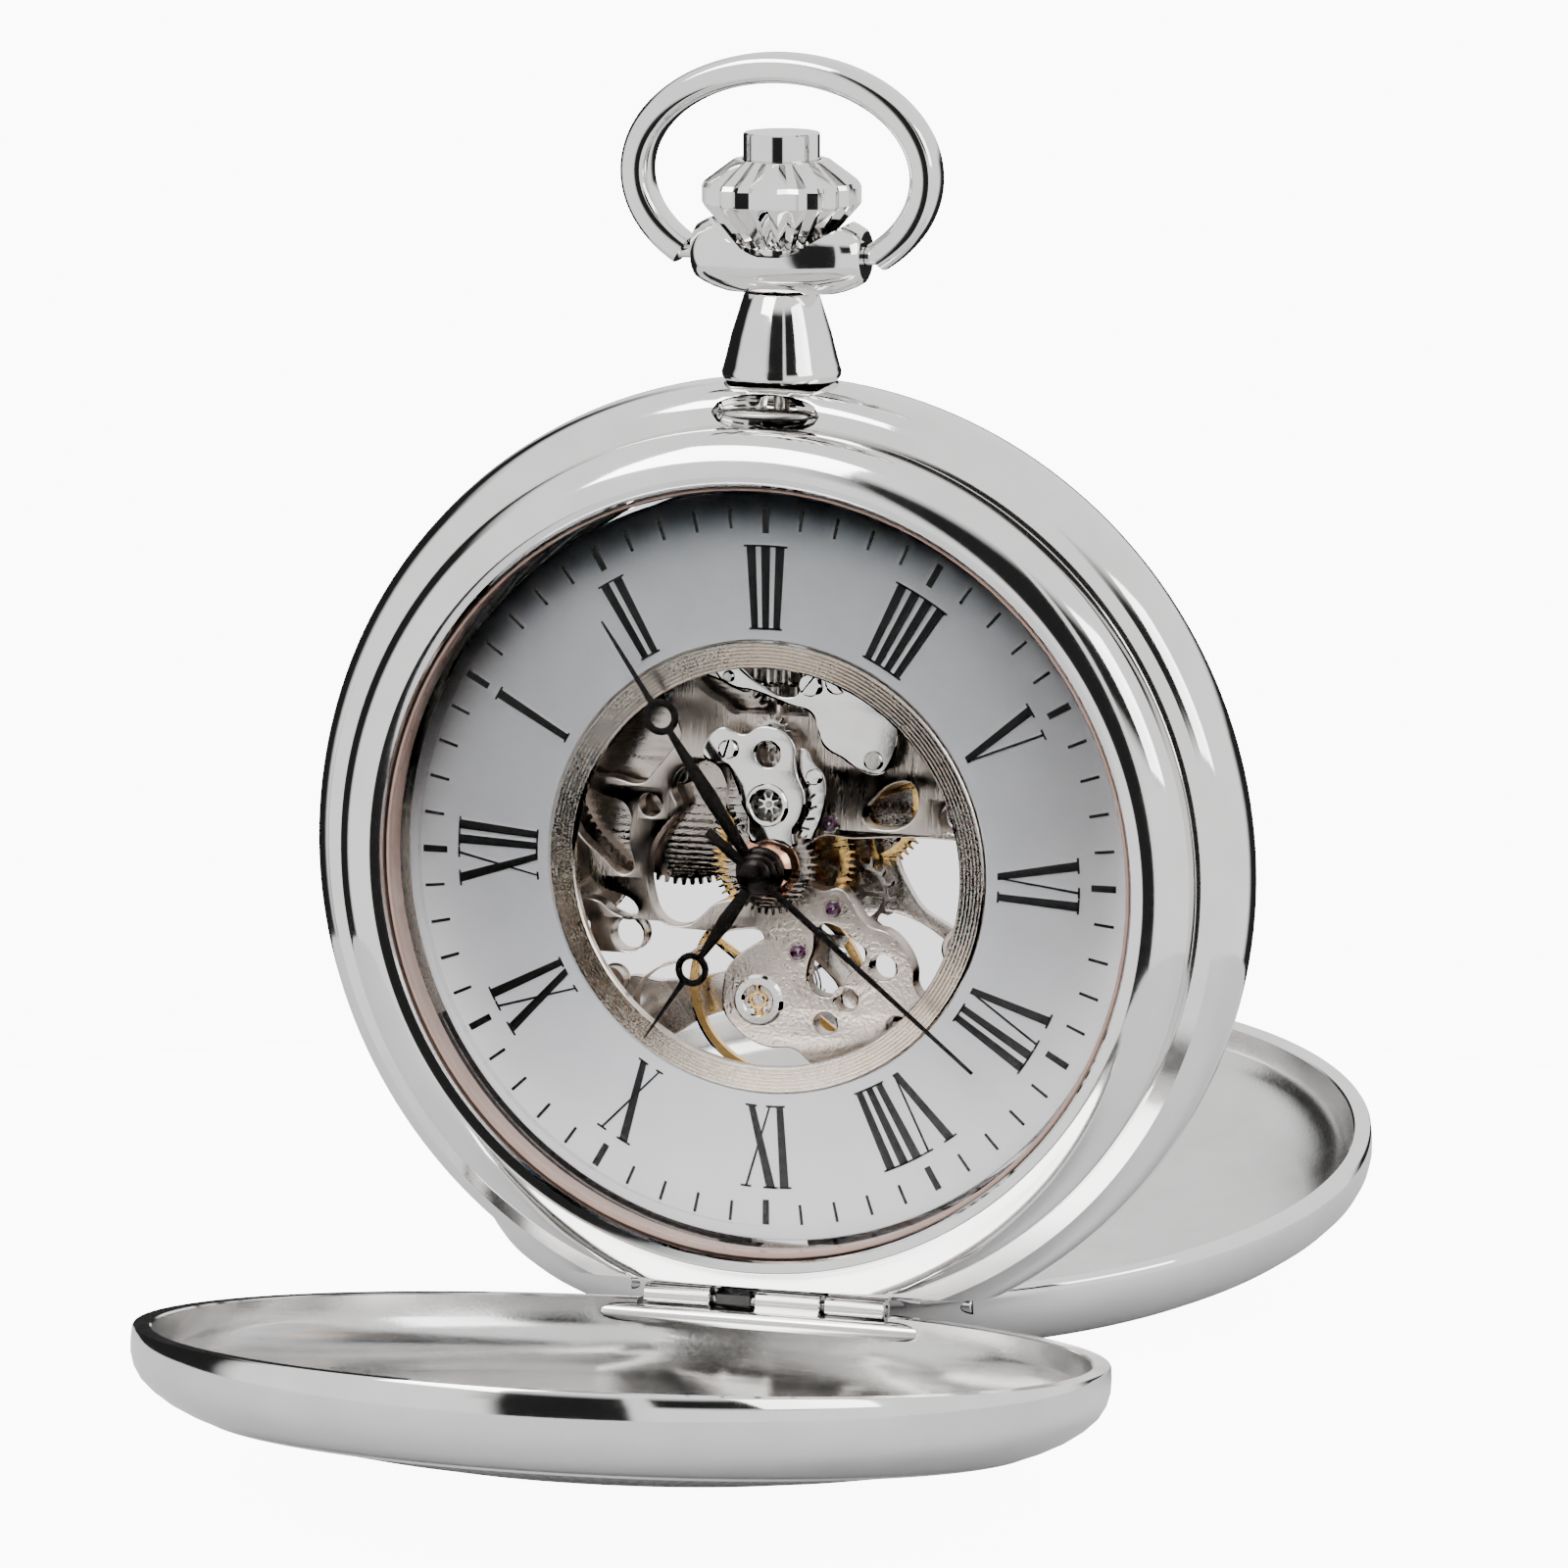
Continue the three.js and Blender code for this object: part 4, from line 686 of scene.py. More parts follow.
small_wheel("visual_crown_wheel", (0, 7.4), 2.0, 2.3, 28, 1.95, 2.15, "crown_wheel", "crown_wheel",
    [(0, 0.6, 1.8, 2.3)], POLISHED_STEEL)

click = paint(cut_plate("visual_click", [[(-9.9, 8.6), (-9.5, 9.0), (-9.0, 8.6), (-8.35, 7.55),
    (-8.5, 7.3), (-8.75, 7.4), (-9.6, 8.0)]], 1.95, 2.2, 0.04), POLISHED_STEEL)
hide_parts("click")
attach(click, "click")

# ---- Stem, clutch and winding pinion ----
# Turned steel: the stem runs down from the crown, its square end drives the sliding clutch, and the
# winding pinion above it turns the crown wheel.
stem = turned("visual_winding_stem", [(0, 5.5), (0.2, 5.5), (0.25, 5.6), (0.25, 7.2), (0.42, 7.6),
    (0.42, 10.6), (0.34, 10.7), (0.34, 11.2), (0.42, 11.3), (0.42, 32.9), (0, 33)], 28, (0, 0, 0), "Z")
paint(stem, STEEL)
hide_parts("winding_stem")
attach(stem, "crown_and_stem")


def draw_in(obj, share, about=(0, 0, 0), keep="Z"):
    """Scales chosen vertices towards a line. share gives each vertex's scale, or 1 to leave it."""
    groups = {}
    for vertex in obj.data.vertices:
        factor = round(share(vertex.co), 4)
        if factor != 1:
            groups.setdefault(factor, []).append(vertex.index)
    pick(obj)
    for factor, chosen in groups.items():
        bpy.ops.object.mode_set(mode="EDIT")
        bpy.ops.mesh.select_mode(type="VERT")
        bpy.ops.mesh.select_all(action="DESELECT")
        bpy.ops.object.mode_set(mode="OBJECT")
        for index in chosen:
            obj.data.vertices[index].select = True
        bpy.ops.object.mode_set(mode="EDIT")
        scale = (1, factor, factor) if keep == "X" else (factor, factor, 1)
        bpy.ops.transform.resize(value=scale, center_override=spot(*about))
        bpy.ops.object.mode_set(mode="OBJECT")
    return obj


def crown_teeth(name, low, high, outer, root, teeth, body, node):
    """A sleeve on the stem with cut teeth round it."""
    edge = [(0.47, low), (outer - 0.05, low), (outer, low + 0.05), (outer, high - 0.05),
        (outer - 0.05, high), (0.47, high)]
    sleeve = turned(name, edge, teeth * 4, (0, 0, 0), "Z")

    def share(place):
        around = (math.atan2(place.y, place.x) / (2 * math.pi) * teeth) % 1.0
        return root / outer if place.xy.length > root * MM and 0.3 < around < 0.8 else 1

    paint(draw_in(sleeve, share), STEEL)
    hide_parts(node)
    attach(sleeve, body)
    return finish_edges(sleeve, 20)


crown_teeth("visual_clutch_wheel", 8.35, 9.15, 0.98, 0.75, 14, "clutch", "clutch_wheel")
crown_teeth("visual_winding_pinion", 9.35, 10.15, 1.57, 1.25, 18, "winding_pinion", "winding_pinion")

# ---- Shock setting of the balance, dial side ----
# A chromed ring sunk in the plate, with a lyre-shaped gilt spring over the jewel that carries the staff.
shock_ring = paint(turned("shock_ring", [(0.78, -1.14), (0.86, -1.22), (1.2, -1.22), (1.36, -1.08),
    (1.36, -0.9), (0.78, -0.9)], 48, (BALANCE[0], 0, BALANCE[1])), POLISHED_STEEL)
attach(shock_ring, "case")
lyre = [(-0.12, 0.85), (0.12, 0.85), (0.12, 0.5), (0.46, 0.28), (0.5, -0.1), (0.2, -0.42), (0.16, -0.82),
    (-0.16, -0.82), (-0.2, -0.42), (-0.5, -0.1), (-0.46, 0.28), (-0.12, 0.5)]
lyre_hole = [(0.0, 0.36), (0.28, 0.18), (0.3, -0.08), (0.0, -0.3), (-0.3, -0.08), (-0.28, 0.18)]
lyre_spring = cut_plate("lyre_spring", [placed(lyre, BALANCE, 0.05), placed(lyre_hole, BALANCE, 0.05)],
    -1.22, -1.12, 0.03)
paint(lyre_spring, GILT)
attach(lyre_spring, "case")
jewel("shock_jewel", BALANCE[0], BALANCE[1], -1.0, -1, 0.34)

# ---- Bridges at the back ----
# Nickel bridges with straight stripes ground across them, bevelled edges and jewels in gilt settings. They
# stand on feet on the main plate and are held by slotted screws.
STRIPED, nodes, links, shader = new_material("striped nickel", (0.8, 0.74, 0.68), 1.0, 0.28)
grain = place_group(nodes, METAL_GRAIN, Grain_Size=9000, Depth=0.25, Roughness=0.26, Spread=0.1,
    Along=0.0)
stripe_place = nodes.new("ShaderNodeTexCoord")
stripe_turn = nodes.new("ShaderNodeMapping")
stripe_turn.inputs["Rotation"].default_value = (0, math.radians(35), 0)
stripes = nodes.new("ShaderNodeTexWave")
stripes.wave_profile = "SAW"
stripes.bands_direction = "X"
stripes.inputs["Scale"].default_value = 180
# The stripes are real grooves in the bump; their dark-to-light colour across each stripe is painted sheen.
painted_stripe_sheen = two_tones(nodes, links, stripes.outputs["Fac"], (0.60, 0.55, 0.50), (0.88, 0.83, 0.78))
stripe_bump = nodes.new("ShaderNodeBump")
stripe_bump.inputs["Strength"].default_value = 0.35
stripe_bump.inputs["Distance"].default_value = 0.00005
links.new(stripe_place.outputs["Object"], stripe_turn.inputs["Vector"])
links.new(stripe_turn.outputs["Vector"], stripes.inputs["Vector"])
links.new(painted_stripe_sheen, shader.inputs["Base Color"])
links.new(stripes.outputs["Fac"], stripe_bump.inputs["Height"])
links.new(grain.outputs["Normal"], stripe_bump.inputs["Normal"])
links.new(stripe_bump.outputs["Normal"], shader.inputs["Normal"])
links.new(grain.outputs["Roughness"], shader.inputs["Roughness"])


def foot(x, z, top):
    """A round pillar between the main plate and a bridge."""
    return turned("foot", [(0, 0.03), (0.85, 0.03), (0.85, top), (0, top)], 24, (x, 0, z))


def bridge(name, node, outlines, front, back, feet):
    """A bridge cut to its outlines, on feet at the given places."""
    roof = cut_plate(name, outlines, front, back, 0.12)
    made = paint(as_one(name, roof, *[foot(x, z, front + 0.1) for x, z in feet]), STRIPED)
    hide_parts(node)
    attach(made, "case")
    return made


BRIDGE_BACK = 3.8
BARREL_BRIDGE_BACK = 3.05
barrel_edge = [(-12.2, -4.2), (-13.0, -1), (-13.0, 2), (-11.8, 6.3), (-8.5, 10.1), (-4.6, 12.3),
    (-2.1, 12.8), (-1.9, 10.6), (0, 10.4), (1.9, 10.6), (2.1, 12.8), (4.8, 12.1), (6, 10.6), (5.2, 8.8),
    (3, 8.0), (0.6, 9.95), (-1.9, 9.4), (-2.8, 7.4), (-2.0, 5.4), (-4.0, 3.6), (-4.6, 1.4), (-8, -0.9),
    (-10.6, -4)]
bridge("visual_barrel_bridge", "barrel_bridge", [barrel_edge, round_hole(*BARREL, 0.86)], 2.35,
    BARREL_BRIDGE_BACK,
    [(-11.7, -3.2), (-4.2, 11.6), (4.4, 11.5)])
train_edge = [(12.6, 4.4), (11, 5.4), (8.6, 5.2), (6.4, 3.9), (3.6, 4.1), (1, 2.4), (-1.3, 1.3),
    (-1.5, -1.1), (0.8, -2.0), (2.8, -3.1), (5.2, -3.1), (8, -4.5), (10.6, -7.2), (12.2, -6.4),
    (12.9, -3), (13.0, 1)]
train_opening = [(5.6, 1.2), (9.6, 1), (10.8, -1.5), (10.3, -4.8), (8.2, -3.7), (6.2, -2.3)]
bridge("visual_train_bridge", "train_bridge", [train_edge, train_opening], 3.15, BRIDGE_BACK,
    [(12.2, 2.2), (11.6, -5.3)])
cock_edge = [(-9.6, -7.4), (-7.6, -7.4), (-4.4, -6.8), (-2.0, -5.9), (-0.6, -5.9), (0.4, -6.7),
    (0.4, -7.8), (-0.7, -8.5), (-2.8, -8.5), (-5.2, -9.2), (-7.6, -10.5), (-9.2, -10.3), (-10.2, -9.0)]
bridge("visual_balance_cock", "balance_cock", [cock_edge], 3.15, BRIDGE_BACK, [(-8.6, -8.8)])
pallet_edge = [(3.2, -8.0), (4.4, -8.0), (4.5, -6.9), (3.0, -5.4), (2.0, -4.0), (1.2, -3.5), (0.8, -4.2),
    (1.3, -5.2), (2.6, -6.6)]
bridge("visual_pallet_bridge", "pallet_bridge", [pallet_edge], 1.05, 1.45, [])
for number, (x, z) in enumerate((THIRD, ESCAPE, CENTRE, BALANCE)):
    jewel(f"back_jewel_{number + 1}", x, z, BRIDGE_BACK, 1, 0.45)
back_screws = [(-11.5, -3.0, BARREL_BRIDGE_BACK), (-4.2, 11.5, BARREL_BRIDGE_BACK),
    (4.4, 11.3, BARREL_BRIDGE_BACK)]
back_screws += [(12.0, 2.2, BRIDGE_BACK), (11.5, -5.2, BRIDGE_BACK), (-8.6, -8.9, BRIDGE_BACK),
    (3.8, -7.4, 1.45)]
for number, (x, z, y) in enumerate(back_screws):
    screw(f"back_screw_{number + 1}", x, z, y, 1, 0.75 if number < 6 else 0.4, 0.4 + number)
screw("ratchet_screw", BARREL[0], BARREL[1], 3.15, 1, 0.72, 0.9, "ratchet")
regulator = paint(cut_plate("regulator", [placed([(-0.7, 0.5), (0.0, 0.78), (0.7, 0.5), (0.85, 0.1),
    (3.4, 0.12), (3.6, 0), (3.4, -0.12), (0.85, -0.1), (0.7, -0.5), (0, -0.78), (-0.7, -0.5)], BALANCE,
    0.5), round_hole(*BALANCE, 0.62)], 3.86, 4.02, 0.04), POLISHED_STEEL)
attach(regulator, "case")


# ---- Movement holder ring ----
# The plated ring between the movement and the case band. It carries the dial's edge and is let into the
# band; the winding stem passes through it.
holder = turned("visual_movement_ring", [(13.75, -2.05), (13.85, -2.15), (19.2, -2.15), (19.3, -2.05),
    (19.3, 2.5), (19.2, 2.6), (13.85, 2.6), (13.75, 2.5)], 128)


def block(name, xs, ys, zs):
    """A plain box, used as a cutting tool."""
    return cut_plate(name, [[(xs[0], zs[0]), (xs[1], zs[0]), (xs[1], zs[1]), (xs[0], zs[1])]], ys[0],
        ys[1], 0, True)


stem_passage = turned("stem passage", [(0, 10), (1.45, 10), (1.45, 25), (0, 25)], 32, (0, 0, 0), "Z")
cut_away(holder, stem_passage)
paint(holder, BRUSHED)
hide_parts("movement_ring")
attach(holder, "case")

# ---- Dial ----
# A silvered ring-shaped dial, grained and lacquered pale grey, open in the middle. Its black Roman numerals
# stand with their feet to the centre and were printed with the minute marks; the twelve is at the left.
SILVERED, nodes, links, shader = new_material("silvered dial", (0.80, 0.81, 0.84), 0.05, 0.42)
grain = place_group(nodes, METAL_GRAIN, Grain_Size=16000, Depth=0.12, Roughness=0.4, Spread=0.12,
    Along=0.0)
silver_tint = two_tones(nodes, links, grain.outputs["Tone"], (0.74, 0.75, 0.79), (0.84, 0.85, 0.88))
links.new(silver_tint, shader.inputs["Base Color"])
links.new(grain.outputs["Roughness"], shader.inputs["Roughness"])
links.new(grain.outputs["Normal"], shader.inputs["Normal"])
dial = turned("visual_dial", [(11.72, -2.5), (11.82, -2.6), (19.35, -2.6), (19.4, -2.55), (19.4, -2.2),
    (11.72, -2.2)], 160)
paint(dial, SILVERED)
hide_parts("dial")
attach(dial, "case")

INK, nodes, links, shader = new_material("dial ink", (0.005, 0.004, 0.005), 0.0, 0.45)
shader.inputs["Specular IOR Level"].default_value = 0.25
grain = place_group(nodes, METAL_GRAIN, Grain_Size=22000, Depth=0.1, Roughness=0.36, Spread=0.1,
    Along=0.0)
links.new(grain.outputs["Roughness"], shader.inputs["Roughness"])
links.new(grain.outputs["Normal"], shader.inputs["Normal"])
NUMERAL_IN = 12.35
NUMERAL_OUT = 16.7
STROKE = 0.42
HAIRLINE = 0.11
MIDDLE = (NUMERAL_IN + NUMERAL_OUT) / 2


def on_dial(hour, corners):
    """Corners of (across, radius) laid out on the dial at an hour, reading clockwise, as (x, z)."""
    places = []
    for across, r in corners:
        a = math.pi * (1 - hour / 6) - across / MIDDLE
        places.append((r * math.cos(a), r * math.sin(a)))
    return places


def numeral(letters):
    """The stems, thin strokes and serifs of one numeral, each as corners of (across, radius)."""
    width = {"I": 0.68, "V": 1.75, "X": 1.75}
    left = -sum(width[letter] for letter in letters) / 2
    stems, thin, serifs = [], [], []
    low, high = NUMERAL_IN, NUMERAL_OUT
    for letter in letters:
        w = width[letter]
        middle = left + w / 2
        if letter == "I":
            stems.append([(middle - STROKE / 2, low), (middle - STROKE / 2, high),
                (middle + STROKE / 2, high), (middle + STROKE / 2, low)])
            spans = [(low, middle, w), (high, middle, w)]
        elif letter == "V":
            stems.append([(middle - 0.02 - STROKE / 2, low), (middle - 0.62 - STROKE / 2, high),
                (middle - 0.62 + STROKE / 2, high), (middle - 0.02 + STROKE / 2, low)])
            thin.append([(middle, low), (middle + 0.6 - HAIRLINE / 2, high),
                (middle + 0.6 + HAIRLINE / 2, high), (middle + HAIRLINE, low)])
            spans = [(high, middle - 0.62, 0.72), (high, middle + 0.6, 0.5)]
        else:
            stems.append([(middle + 0.58 - STROKE / 2, low), (middle - 0.58 - STROKE / 2, high),
                (middle - 0.58 + STROKE / 2, high), (middle + 0.58 + STROKE / 2, low)])
            thin.append([(middle - 0.6 - HAIRLINE / 2, low), (middle + 0.6 - HAIRLINE / 2, high),
                (middle + 0.6 + HAIRLINE / 2, high), (middle - 0.6 + HAIRLINE / 2, low)])
            spans = [(low, middle - 0.6, 0.5), (low, middle + 0.58, 0.72), (high, middle - 0.58, 0.72),
                (high, middle + 0.6, 0.5)]
        for r, at, span in spans:
            near = r if r == low else r - 0.1
            serifs.append([(at - span / 2, near), (at - span / 2, near + 0.1),
                (at + span / 2, near + 0.1), (at + span / 2, near)])
        left += w
    return stems, thin, serifs


layers = ([], [], [])
for hour, letters in enumerate(("XII", "I", "II", "III", "IIII", "V", "VI", "VII", "VIII", "IX", "X",
    "XI")):
    for layer, strokes in zip(layers, numeral(letters)):
        layer += [on_dial(hour, stroke) for stroke in strokes]
minute_marks = []
for minute in range(60):
    on_hour = minute % 5 == 0
    half = 0.14 if on_hour else 0.06
    near = 17.3 if on_hour else 17.55
    minute_marks.append(on_dial(minute / 5, [(-half, near), (-half, 18.6), (half, 18.6), (half, near)]))
printed = [cut_plate("print", outlines, -2.625, -2.585, 0, True) for outlines in (*layers, minute_marks)]
numerals = paint(as_one("dial_numerals", *printed), INK)
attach(numerals, "case")

# ---- Inner ring of the dial ----
# A champagne-coloured ring pressed into the dial's opening, turned with a set of fine grooves.
CHAMPAGNE = grained("champagne ring", (0.56, 0.49, 0.42), (0.80, 0.73, 0.65), 0.26, 9000, 0.2, 0.1)
GROOVES = 6
ring_edge = [(10.35, -2.2), (10.35, -2.62), (10.43, -2.7)]
for i in range(GROOVES):
    start = 10.5 + i * 0.185
    ring_edge += [(start, -2.7), (start + 0.06, -2.6), (start + 0.1, -2.6), (start + 0.12, -2.7)]
ring_edge += [(11.6, -2.7), (11.66, -2.64), (11.66, -2.2)]
inner_ring = paint(turned("visual_dial_inner_ring", ring_edge, 128, angle=20), CHAMPAGNE)
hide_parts("dial_inner_ring")
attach(inner_ring, "case")

# ---- Hands ----
# Blackened steel hands with tapered blades and a pierced ring near the tip, each pressed on its own tube
# with a domed hub. The long thin second hand has a flat bar for a tail.
BLACKENED = grained("blackened steel", (0.006, 0.005, 0.005), (0.022, 0.019, 0.018), 0.24, 9000, 0.04,
    0.08)


def ring_hand(name, hub, bore, ring_at, outer, inner, tip, front, back, dome, turn, body, node):
    """A hand with a pierced ring, its blade swelling to the middle and its tip running out to a needle."""
    half = outer * 0.995
    edge = [(hub * 0.6, 0.26), (ring_at * 0.5, 0.4), (ring_at - outer * 1.02, 0.17)]
    for k in range(9):
        a = math.pi * (0.94 - 0.88 * k / 8)
        edge.append((ring_at + half * math.cos(a), half * math.sin(a)))
    edge += [(ring_at + outer * 1.3, 0.14), (tip - 1.6, 0.09), (tip, 0.04)]
    outline = edge + [(x, -z) for x, z in reversed(edge)]
    angle = math.pi * (1 - 2 * turn)
    hole = placed([(x + ring_at, z) for x, z in round_hole(0, 0, inner, 20)], CENTRE, angle)
    blade = cut_plate(name, [placed(outline, CENTRE, angle), hole], front, back, 0.03, True)
    boss = [(bore, back), (hub, back), (hub, front), (hub - 0.06, front - 0.08), ((hub + bore) / 2, dome),
        (bore, dome)]
    hand = paint(as_one(name, blade, turned(name + " boss", boss, 48)), BLACKENED)
    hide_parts(node)
    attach(hand, body)
    return hand


ring_hand("visual_hour_hand", 1.3, 0.88, 6.45, 0.9, 0.55, 11, -3.6, -3.45, -3.78, 10.157 / 12, "hours",
    "hour_hand")
ring_hand("visual_minute_hand", 1.05, 0.53, 9.35, 0.95, 0.58, 15.1, -4.05, -3.9, -4.2, 9.4 / 60,
    "minutes", "minute_hand")
second_edge = [(-3.3, 0.27), (-1.25, 0.27), (-1.1, 0.16), (0, 0.2), (15.05, 0.085)]
second_outline = second_edge + [(x, -z) for x, z in reversed(second_edge)]
second_blade = cut_plate("second blade", [placed(second_outline, CENTRE, math.pi * (1 - 2 * 36.6 / 60))],
    -4.45, -4.33, 0.02, True)
second_boss = turned("second boss", [(0.23, -4.3), (0.85, -4.3), (0.85, -4.5), (0.72, -4.64),
    (0.4, -4.72), (0, -4.74), (0, -4.5), (0.23, -4.48)], 48)
second_hand = paint(as_one("visual_second_hand", second_blade, second_boss), BLACKENED)
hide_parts("second_hand")
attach(second_hand, "seconds")

# ---- Case band ----
# The polished steel band of the case. It is turned from solid, its lower edge is cut flat for the hinges,
# and a pocket for each cover's catch is milled at the top.
POLISHED = grained("polished steel", (0.70, 0.69, 0.68), (0.84, 0.83, 0.82), 0.07, 2500, 0.01, 0.05)


def half_turned(obj, name):
    """A copy for the other side of the watch, turned half way round the upright axis."""
    pick(obj)
    bpy.ops.object.duplicate()
    made = bpy.context.object
    made.name = made.data.name = name
    made.rotation_euler.z = math.pi
    bpy.ops.object.transform_apply(location=True, rotation=True, scale=True)
    return made


def lens(name, half, y, z, deep, high):
    """A lens-shaped body lying across the watch, with its half length, depth and height."""
    spindle = [(deep * math.sqrt(1 - (x / half) ** 2), x) for x in (half * k / 8 for k in range(-8, 9))]
    made = turned(name, spindle, 48, (0, y, z), "X", 40)
    pick(made)
    bpy.ops.object.mode_set(mode="EDIT")
    bpy.ops.mesh.select_all(action="SELECT")
    bpy.ops.transform.resize(value=(1, 1, high / deep), center_override=spot(0, y, z))
    bpy.ops.object.mode_set(mode="OBJECT")
    return made


band_edge = [(20, -2.6), (20.1, -2.7), (23.8, -2.7), (23.92, -2.62), (24.3, -2.42), (24.62, -2.0),
    (24.85, -1.35), (24.97, -0.6), (25, 0)]
band_edge += [(24.97, 0.6), (24.85, 1.35), (24.62, 2.0), (24.3, 2.42), (23.92, 2.62), (23.8, 2.7),
    (20.1, 2.7), (20, 2.6)]
band = turned("visual_case_band", band_edge, 192, angle=25)
cut_away(band, block("below flat", (-15, 15), (-4, 4), (-30, -21.9)))
cut_away(band, turned("stem passage", [(0, 15), (1.45, 15), (1.45, 30), (0, 30)], 32, (0, 0, 0), "Z"))
cut_away(band, block("spring slot", (-2.8, -0.6), (-2.8, -0.9), (-22.4, -18)))
cut_away(band, block("spring slot", (0.6, 2.8), (0.9, 2.8), (-22.4, -18)))
cut_away(band, lens("pocket", 2.95, -2.5, 23.4, 1.7, 0.98))
cut_away(band, lens("pocket", 2.95, 2.5, 23.4, 1.7, 0.98))
paint(band, POLISHED)
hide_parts("case_band")
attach(band, "case")


def on_both_sides(name, front, node, body="case"):
    """Names, fixes and copies a piece that the back of the watch has as well."""
    front.name = front.data.name = "visual_front_" + name
    rear = half_turned(front, "visual_rear_" + name)
    for side, made in (("front", front), ("rear", rear)):
        if node:
            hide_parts(f"{side}_{node}")
        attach(made, body if body == "case" else f"{side}_{body}")
    return front, rear


# ---- Bezels ----
# Polished steel rings snapped on to the band, which hold the crystals. Each has a rounded shoulder, a
# raised inner lip and a gap at the top for the cover's catch.
bezel_edge = [(20, -2.73), (20, -4.9), (20.1, -5.05), (20.5, -5.2), (20.75, -5.22), (21.2, -5.12),
    (21.75, -4.92), (22.2, -4.62), (22.5, -4.3), (22.72, -3.9), (22.8, -3.6), (22.8, -2.8),
    (22.73, -2.73)]
bezel = turned("bezel", bezel_edge, 192, angle=25)
cut_away(bezel, block("below flat", (-15, 15), (-6, 0), (-30, -21.4)))
cut_away(bezel, lens("catch gap", 2.95, -2.5, 23.4, 1.7, 0.98))
on_both_sides("bezel", paint(bezel, POLISHED), "bezel")

# ---- Crystals ----
# Domed glass with a ground edge, pressed into each bezel over a soft copper-coloured seal.
GLASS, nodes, links, shader = new_material("glass", (1, 1, 1), 0.0, 0.01)
shader.inputs["IOR"].default_value = 1.5
shader.inputs["Transmission Weight"].default_value = 1.0
rim_light = nodes.new("ShaderNodeFresnel")
rim_light.inputs["IOR"].default_value = 1.5
smudge_place = nodes.new("ShaderNodeTexCoord")
smudge = nodes.new("ShaderNodeTexNoise")
smudge.inputs["Scale"].default_value = 120
smudge_range = nodes.new("ShaderNodeMapRange")
smudge_range.inputs["To Min"].default_value = 0.0
smudge_range.inputs["To Max"].default_value = 0.03
links.new(smudge_place.outputs["Object"], smudge.inputs["Vector"])
links.new(smudge.outputs["Fac"], smudge_range.inputs["Value"])
links.new(smudge_range.outputs["Result"], shader.inputs["Roughness"])
GLASS_SHARE, GLASS_LESS = 0.7, 0.02
sum_of = sums(nodes, links)
clear = sum_of("MULTIPLY_ADD", rim_light.outputs["Fac"], GLASS_SHARE, -GLASS_LESS)
clear.node.use_clamp = True
which_side = nodes.new("ShaderNodeNewGeometry")
outer_face = sum_of("SUBTRACT", 1, which_side.outputs["Backfacing"])
links.new(sum_of("MULTIPLY", clear, outer_face), shader.inputs["Alpha"])
crystal_edge = [(0, -5.85), (6, -5.8), (12, -5.6), (15, -5.33), (16.6, -5.05), (17.7, -4.7), (18.3, -4.3),
    (18.5, -3.6), (18.6, -2.95)]
crystal_edge += [(19.5, -2.95), (19.6, -3.05), (19.6, -4.65), (19.4, -5.05), (19, -5.45), (18.2, -5.8),
    (17.2, -6.1), (15, -6.4), (12, -6.65), (6, -6.85), (0, -6.9)]
on_both_sides("crystal", paint(turned("crystal", crystal_edge, 160, angle=60), GLASS), "crystal")
SEAL = grained("seal", (0.30, 0.19, 0.155), (0.44, 0.32, 0.27), 0.5, 6000, 0.2, 0.1)
SEAL.node_tree.nodes["Principled BSDF"].inputs["Metallic"].default_value = 0.0
seal_ring = turned("seal", [(19.68, -3.2), (19.92, -3.2), (19.92, -4.6), (19.85, -4.7), (19.75, -4.7),
    (19.68, -4.6)], 128)
on_both_sides("crystal_seal", paint(seal_ring, SEAL), "crystal_seal")

# ---- Cover catches ----
# Hooked steel blocks that slide in pockets at the top of the case and hold the covers shut. The push piece
# in the crown frees them.
catch = lens("catch", 2.5, -2.45, 23.35, 1.0, 0.34)
cut_away(catch, block("flat top", (-3, 3), (-4, 0), (23.6, 24.5)))
on_both_sides("cover_catch", paint(finish_edges(catch), STEEL), "cover_catch", "catch")

# ---- Hinges ----
# Tubes soldered to the flat under the case, with a steel pin through them and through the cover's own
# tube. A dark spring block presses on the cover between the tubes.
HINGE = (-2.6, -22.7)


def tube(name, x0, x1, outer, inner, y, z, steps=40):
    """A tube lying across the watch, its ends softly broken."""
    soft = 0.05
    edge = [(inner, x0), (outer - soft, x0), (outer, x0 + soft), (outer, x1 - soft), (outer - soft, x1),
        (inner, x1)]
    return turned(name, edge, steps, (0, y, z), "X", 30)


def knuckle(x0, x1):
    """A hinge tube with the saddle that joins it to the case."""
    saddle = block("saddle", (x0 + 0.05, x1 - 0.05), (-2.55, -2.08), (HINGE[1] + 0.36, -21.94))
    return [tube("knuckle", x0, x1, 0.6, 0.32, *HINGE), saddle]


strip = block("strip", (-6.5, 6.5), (-1.75, -0.4), (-22.2, -21.94))
shelf = [block("shelf", span, (-2.28, -1.0), (-22.2, -21.94)) for span in ((-6.5, -2.9), (3.3, 6.5))]
case_hinge = as_one("case hinge", *knuckle(-6.5, -2.9), *knuckle(3.3, 6.5), strip, *shelf)
cut_away(case_hinge, block("spring gap", (-2.75, -0.65), (-2.9, -1.2), (-23, -21)))
on_both_sides("case_hinge", paint(case_hinge, POLISHED), "case_hinge")
pin_edge = [(0, -6.5), (0.2, -6.5), (0.25, -6.42), (0.25, 6.42), (0.2, 6.5), (0, 6.5)]
on_both_sides("hinge_pin", paint(turned("pin", pin_edge, 24, (0, *HINGE), "X"), STEEL), "hinge_pin")

